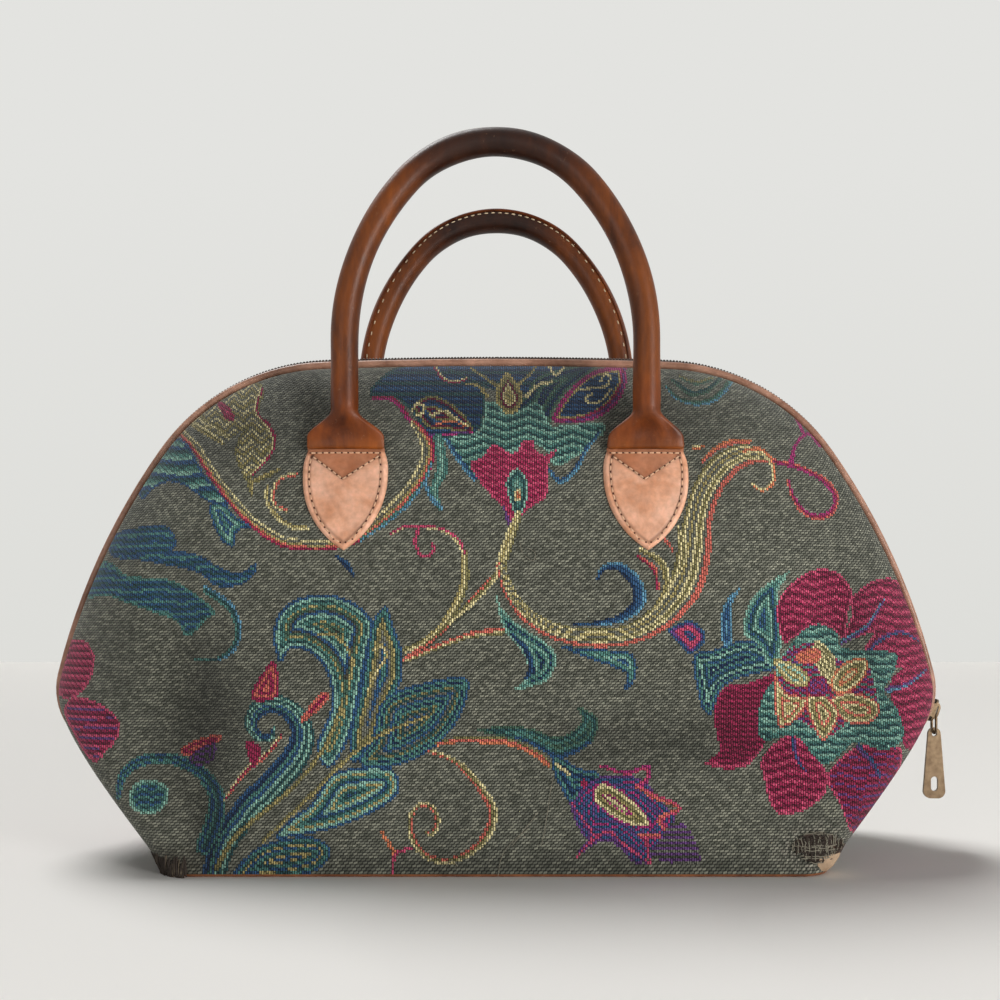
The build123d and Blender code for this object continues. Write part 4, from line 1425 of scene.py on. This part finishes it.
def tab_mesh(name, across, side):
    """One leaf: a domed skin with a groove along its stitches, closed down to the cloth."""
    drops = tab_end * np.sin(np.linspace(0, 1, tab_rows_down) * pi / 2) ** 0.9
    drops = np.concatenate([lip_drops, drops])
    columns = np.sin(np.linspace(-1, 1, tab_columns) * pi / 2)
    grid = np.array([(c * leaf_half_width(max(d, 0)), d) for d in drops for c in columns])
    height, to_rim = tab_height(grid)
    to_vee, _, _, _ = nearest(grid, np.array(tab_vee))
    to_rim_row = to_rim - rim_row_inset
    below = grid[:, 1] > 1
    groove = rim_groove * near_line(to_rim_row, groove_half) * below
    top_line = top_groove * near_line(grid[:, 1] - top_row_drop, groove_half)
    groove += vee_groove * near_line(to_vee, groove_half) + top_line
    height = height - groove
    # Painted shade in the stitch grooves, and a painted highlight on the rounded rim
    shade = 1 - rim_shadow * near_line(to_rim_row, 0.7) * below - vee_shadow * near_line(to_vee, 0.8)
    shade += rim_highlight * near_line(to_rim - 1.0, 0.8)
    in_vee = grid[:, 1] < vee_drop - np.abs(grid[:, 0] - vee_across) * vee_slope
    in_vee |= grid[:, 1] < top_row_drop
    stain = 0.06 * np.sin(grid[:, 0] / 3.1 + across) * np.sin(grid[:, 1] / 4.3)
    points, feet, tones = [], [], []
    for (x, drop), lift, tone, inner, spot in zip(grid, height, shade, in_vee, stain):
        place = across + x
        z = tab_top - drop
        cloth = panel_out(place, min(z, tab_top))
        fall = max(-drop, 0) * lip_fall
        points.append((place, side * (cloth + tab_lift + lift - fall), z))
        feet.append((place, side * (cloth - tab_foot), z))
        red, green_share, blue_share = vee_tone if inner else (1.0, 1.0, 1.0)
        # The lip tucked under the shoulder gets painted shade; the stain is the leather's own
        tone = tone * red * (0.8 if drop < 0.5 else 1.0) + spot
        tones.append((tone, tone * green_share, tone * blue_share, 1))
    count, wide = len(drops), len(columns)
    base = len(points)
    faces = [(a, d, c, b) for a, b, c, d in grid_faces(count, wide)]
    faces += grid_faces(count, wide, base)
    ring = list(range(wide)) + [i * wide + wide - 1 for i in range(1, count)]
    ring += [(count - 1) * wide + j for j in range(wide - 2, -1, -1)]
    ring += [i * wide for i in range(count - 2, 0, -1)]
    for a, b in zip(ring, ring[1:] + ring[:1]):
        faces.append((a, b, base + b, base + a))
    item = make_mesh(name, points + feet, facing(faces, side))
    set_tones(item, tones + [foot_tone] * len(feet))
    shade_smooth(item)
    return item


line_step = 0.1


def along_line(line, pitch, first):
    """Places at a pitch along a line of points, from the first, with the direction at each."""
    line = np.array(line, float)
    steps = np.hypot(*np.diff(line, axis=0).T)
    far = np.concatenate([[0], np.cumsum(steps)])
    at = np.arange(first * pitch, far[-1], pitch)

    def place_at(distance):
        return np.stack([np.interp(distance, far, line[:, 0]), np.interp(distance, far, line[:, 1])], axis=1)

    return place_at(at), place_at(at + line_step) - place_at(at - line_step)


def tab_stitches(name, across, side, rows, length, radius, first=0.5, sink=0.1):
    """Stitches that lie in the leaf's grooves. Rows are (line, pitch); first is the share of a pitch that
    comes before each row."""
    places, directions = [], []
    for line, pitch in rows:
        spots, runs = along_line(line, pitch, first)
        lifts, _ = tab_height(spots)
        for (x, drop), (run_x, run_drop), lift in zip(spots, runs, lifts):
            place = across + x
            z = tab_top - drop
            out = panel_out(place, z) + tab_lift + lift - sink
            slope = panel_out(place + run_x, z - run_drop) - panel_out(place, z)
            places.append((place, side * out, z))
            directions.append((run_x, side * slope, -run_drop))
    return beads(name, places, directions, length, radius)


# Stitch rows of a leaf as (line, pitch); the row along the rim turns in over the tip
border = [(leaf_half_width(d) - rim_row_inset, d) for d in np.linspace(3, 37, 30)]
border += [(4.6, 39.2), (0.0, 41.4)]
border_left = [(-x, d) for x, d in border]
top_row = ((-15.6, top_row_drop), (15.6, top_row_drop))
tab_rows = ((border, 3.3), (border_left, 3.3), (tab_vee, 2.8), (top_row, 2.8))
stitch_shape = {"length": 2.1, "radius": 0.36}
hole_shape = {"length": 0.9, "radius": 0.44, "first": 0.0, "sink": 0.22}
for piece, side in sides:
    for place, turn in (("left", -1), ("right", 1)):
        label = f"{piece}_{place}"
        leaf = tab_mesh(f"tab_leather_{label}", turn * leg_across, side)
        give(leaf, tab_leather)
        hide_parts(f"tab_{label}")
        pale = tab_stitches(f"tab_stitches_{label}", turn * leg_across, side, tab_rows, **stitch_shape)
        give(pale, thread)
        holes = tab_stitches(f"tab_holes_{label}", turn * leg_across, side, tab_rows, **hole_shape)
        give(holes, thread_dark)
        for item in (leaf, pale, holes):
            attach(item, "bag")


# Zip coils as rows of teeth
def edge_places(pitch, first, end_cut):
    """Places at an even pitch along the whole outline, with the way it faces. First is the share of a pitch
    between the middle and the place next to it."""
    half = edge_length(0) - end_cut
    places = []
    for step in range(-int(half / pitch), int(half / pitch) + 1):
        far = (step + first) * pitch
        if abs(far) <= half:
            places.append((1 if far >= 0 else -1, *edge_point(abs(far), 0.0)))
    return places


tooth_pitch = 1.5
tooth_lift = 2.75
tooth_middle = 1.25
tooth_length = 3.9
tooth_radius = 0.72
tooth_lean = 0.3
tooth_shift = 0.25
teeth_end_gap = 0.5
for piece, side in sides:
    places, directions = [], []
    for way, x, z, turn in edge_places(tooth_pitch, tooth_shift * side, zip_half_width + teeth_end_gap):
        places.append((way * (x + tooth_lift * sin(turn)), side * tooth_middle, z + tooth_lift * cos(turn)))
        directions.append((way * cos(turn) * tooth_lean, 1, -sin(turn) * tooth_lean))
    teeth = beads(f"zip_teeth_{piece}", places, directions, tooth_length, tooth_radius)
    give(teeth, coil_dark)
    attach(teeth, "bag")
    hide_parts(f"zip_coil_{piece}")


# Frayed corners and stray fibres
strand_around = 5


def strands(name, paths, radius):
    """Thin threads, each a tube along its own points."""
    points, faces = [], []
    for path in paths:
        path = [Vector(place) for place in path]
        faces += tube_faces(len(path), strand_around, len(points))
        for index, place in enumerate(path):
            run = path[min(index + 1, len(path) - 1)] - path[max(index - 1, 0)]
            first = run.orthogonal().normalized()
            second = run.cross(first).normalized()
            for k in range(strand_around):
                turn = 2 * pi * k / strand_around
                points.append(place + (first * cos(turn) + second * sin(turn)) * radius)
    item = make_mesh(name, points, faces)
    shade_smooth(item)
    return item


def on_cloth(run_at, z, half, lift):
    """A place on the front cloth, by its way round from the middle and its height, lifted off the surface."""
    run, xs, out = slice_at(round(max(z, panel_foot), 2), half)
    around = [run_at - 0.5, run_at, run_at + 0.5]
    x = np.interp(around, run, xs)
    y = -np.interp(around, run, out)
    along = Vector((x[2] - x[0], y[2] - y[0], 0)).normalized()
    away = Vector((along[1], -along[0], 0)) * half
    if away[1] > 0 and abs(x[1]) < base_length / 2 - 1:
        away = -away
    sag = np.exp(-(max(z, panel_foot) - panel_foot) / foot_reach)
    place = Vector((x[1], y[1] - foot_bulge * sag, z - foot_sag * sag * (z > 0.5)))
    return place + away * lift


patch_rings = (0.3, 0.6, 0.85, 1.0)
patch_fall = 0.9


def worn_patch(name, centre, rim, lift):
    """A worn spot that lies on the cloth, domed and with a ragged rim of (way round, height)."""
    points = [on_cloth(*centre, 1, lift)]
    count = len(rim)
    for share in patch_rings:
        for spot in rim:
            run_at = centre[0] + share * (spot[0] - centre[0])
            z = centre[1] + share * (spot[1] - centre[1])
            points.append(on_cloth(run_at, z, 1, lift * (1 - patch_fall * share**4)))
    faces = [(0, 1 + k, 1 + (k + 1) % count) for k in range(count)]
    faces += [(a, d, c, b) for a, b, c, d in ring_faces(len(patch_rings), count, 1)]
    item = make_mesh(name, points, faces)
    shade_smooth(item)
    return item


def ragged(centre, reach, count, rough):
    """A ragged closed rim round a centre."""
    rim = []
    for k in range(count):
        turn = 2 * pi * k / count
        size = 1 - rough * chance.random()
        rim.append((centre[0] + reach[0] * size * cos(turn), centre[1] + reach[1] * size * sin(turn)))
    return rim


def drawn(least, spread):
    """A random measure between the least and the least plus the spread."""
    return least + spread * chance.random()


# Left corner: loose threads. Where they are round the cloth, their tops, ends and puff are (least, spread)
left_fray_count = 150
fray_way_round = (131.0, 29.0)
fray_top = (4.0, 6.0)
fray_low = (0.6, 3.0)
fray_puff = (0.3, 0.8)
fray_lean = 1.3
fray_lift = 0.1
fray_tuck = 0.8
threads = []
for _ in range(left_fray_count):
    run_at = drawn(*fray_way_round)
    top = drawn(*fray_top)
    low = drawn(*fray_low)
    lean = chance.normal() * fray_lean
    puff = drawn(*fray_puff)
    path = []
    for share in (0.0, 0.25, 0.5, 0.75, 1.0):
        z = top + (low - top) * share
        lift = fray_lift + puff * sin(pi * min(share * fray_tuck, 1))
        path.append(on_cloth(run_at + lean * share, z, -1, lift))
    threads.append(path)
fray_left = strands("fray_left", threads[::2] + threads[1::4], radius=0.34)
give(fray_left, fray_dark)
fray_left_pale = strands("fray_left_pale", threads[3::4], radius=0.22)
give(fray_left_pale, fray_brown)

# Right corner: a net of bared threads over a hole, a tear beside it and the raw leather below
net_centre = (137.0, 13.0)
net_reach = (12.0, 6.5)
net_pitch = 0.8
net_lift = 0.7
net_wobble = 0.2
net_least_span = 0.35
net_edge_gap = 0.6
net_points = 9
net_ends = (net_least_span, 1 - net_least_span)
net_pale, net_dark = [], []
for flat in (False, True):
    reach = net_reach[1] if flat else net_reach[0]
    other = net_reach[0] if flat else net_reach[1]
    for step in np.arange(-reach + net_edge_gap, reach, net_pitch):
        span = other * (1 - (step / reach) ** 2) ** 0.5
        low, high = -span * drawn(*net_ends), span * drawn(*net_ends)
        path = []
        for place in np.linspace(low, high, net_points):
            wiggle = step + net_wobble * chance.normal()
            run_at, z = (place, wiggle) if flat else (wiggle, place)
            lift = net_lift + net_wobble * chance.normal()
            path.append(on_cloth(net_centre[0] + run_at, net_centre[1] + z, 1, lift))
        (net_pale if chance.random() < 0.5 else net_dark).append(path)
fray_net = strands("fray_right_pale", net_pale, radius=0.24)
give(fray_net, fray_pale)
fray_net_dark = strands("fray_right_dark", net_dark, radius=0.26)
give(fray_net_dark, fray_dark)
hole_rim = ragged(net_centre, net_reach, count=34, rough=0.45)
hole = worn_patch("fray_hole", net_centre, hole_rim, lift=0.3)
give(hole, coil_dark)
tear_centre = (147.0, 10.6)
tear_reach = (9.5, 5.0)
tear_rim = ragged(tear_centre, tear_reach, count=30, rough=0.45)
tear = worn_patch("fray_tear", tear_centre, tear_rim, lift=0.7)
give(tear, coil_dark)
raw_centre = (145.5, 6.8)
raw_reach = (10.0, 4.0)
raw_rim = ragged(raw_centre, raw_reach, count=24, rough=0.14)
raw = worn_patch("raw_corner", raw_centre, raw_rim, lift=1.3)
give(raw, raw_leather)


def from_sheet(across, down, lift):
    """The place on the front that is seen at a place of the sheet."""
    out = base_depth / 2
    for _ in range(4):
        scale = sheet_scale(camera_distance - out)
        x = camera_across + (across - sheet_middle) / scale
        z = camera_height + (eye_row - down) / scale
        out = panel_out(x, max(z, panel_foot))
    return x, -out - lift, z


fibre_lines = (
    ((498, 876), (500, 862), (505, 850), (516, 838), (529, 828)),
    ((541, 846), (545, 828), (549, 801), (553, 776)),
    ((512, 846), (522, 832), (538, 812)),
    ((520, 543), (523, 554), (533, 561), (535, 553), (528, 548)),
    ((444, 868), (452, 860), (458, 866)),
)
fibre_lift = 0.9
fibre_radius = 0.13
fibres = []
for line in fibre_lines:
    curve, _ = smooth_line(line, False, 5)
    fibres.append([from_sheet(*spot, fibre_lift) for spot in curve])
stray = strands("stray_fibres", fibres, fibre_radius)
give(stray, fray_pale)
for item in (fray_left, fray_left_pale, fray_net, fray_net_dark, hole, tear, raw, stray):
    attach(item, "bag")


shown = {
    "base_panel": base_leather,
    "base_piping": base_leather,
    "base_board": board,
    "front_piping": piping_leather,
    "back_piping": piping_leather,
    "zip_tape_front": tape_cloth,
    "zip_tape_back": tape_cloth,
    "zip_end_right": tape_cloth,
    "zip_end_left": tape_cloth,
    "zip_slider": bronze,
    "zip_ring": bronze,
    "zip_pull": bronze,
    "front_handle_core": cord,
    "back_handle_core": cord,
}
for name, material in shown.items():
    item = nodes[name]
    for index in range(max(1, len(item.material_slots))):
        if not item.material_slots:
            item.data.materials.append(material)
        item.material_slots[index].link = "OBJECT"
        item.material_slots[index].material = material


# Floor, wall and lights
def plane(name, corners, material):
    """A large flat piece of the studio."""
    item = make_mesh(name, corners, [(0, 1, 2, 3)])
    give(item, material)
    return item


wall_distance = 2290.0
wall_top = 5000.0
floor_near = -3000.0
left_end, right_end = -6000.0, 6000.0
floor_paint = floor_material("floor_paint", (238, 236, 232))
wall_paint = wall_material("wall_paint", (227, 227, 224), (222, 222, 218))
near_edge = [(left_end, floor_near, 0), (right_end, floor_near, 0)]
wall_foot = [(right_end, wall_distance, 0), (left_end, wall_distance, 0)]
wall_head = [(right_end, wall_distance, wall_top), (left_end, wall_distance, wall_top)]
plane("floor", near_edge + wall_foot, floor_paint)
backdrop = plane("wall", wall_foot[::-1] + wall_head, wall_paint)
backdrop.visible_shadow = False


def aimed(name, data, direction):
    """Add a lamp that shines along a direction."""
    item = bpy.data.objects.new(name, data)
    item.rotation_euler = direction.to_track_quat("-Z", "Y").to_euler()
    bpy.context.scene.collection.objects.link(item)
    return item


def area_light(name, place, target, size, power, colour=(1, 1, 1)):
    """A soft square light, aimed."""
    data = bpy.data.lights.new(name, "AREA")
    data.size = size * MM
    data.energy = power
    data.color = colour
    item = aimed(name, data, Vector(target) - Vector(place))
    item.location = Vector(place) * MM


key_colour = (1.0, 0.99, 0.97)
area_light("key", place=(1150, -1150, 230), target=(0, 0, 110), size=420, power=16.5, colour=key_colour)
area_light("fill", place=(-700, -1500, 240), target=(-40, 0, 110), size=900, power=4.8)
sky = bpy.data.lights.new("sky", "SUN")
sky.energy = 2.3
sky.angle = radians(30)
sky_direction = Vector((0.36, -0.42, -1.0))
aimed("sky", sky, sky_direction)

# The air lights softly, and is seen pale
air_light = 0.12
air_seen = 0.78
world = bpy.data.worlds.new("studio_air")
world.use_nodes = True
air = world.node_tree
air_strength = spread(air, seen_rays(air), 0.0, 1.0, bottom=air_light, top=air_seen)
fill(air, air.nodes["Background"], {0: (1.0, 1.0, 1.0, 1.0), 1: air_strength})
bpy.context.scene.world = world
bpy.context.scene.view_settings.view_transform = "Standard"

camera_data = bpy.data.cameras.new("camera")
camera_data.lens = camera_lens
camera_data.sensor_width = sensor_width
camera_data.shift_y = camera_shift
camera = bpy.data.objects.new("camera", camera_data)
camera.location = (camera_across * MM, -camera_distance * MM, camera_height * MM)
camera.rotation_euler = (pi / 2, 0, 0)
bpy.context.scene.collection.objects.link(camera)
bpy.context.scene.camera = camera
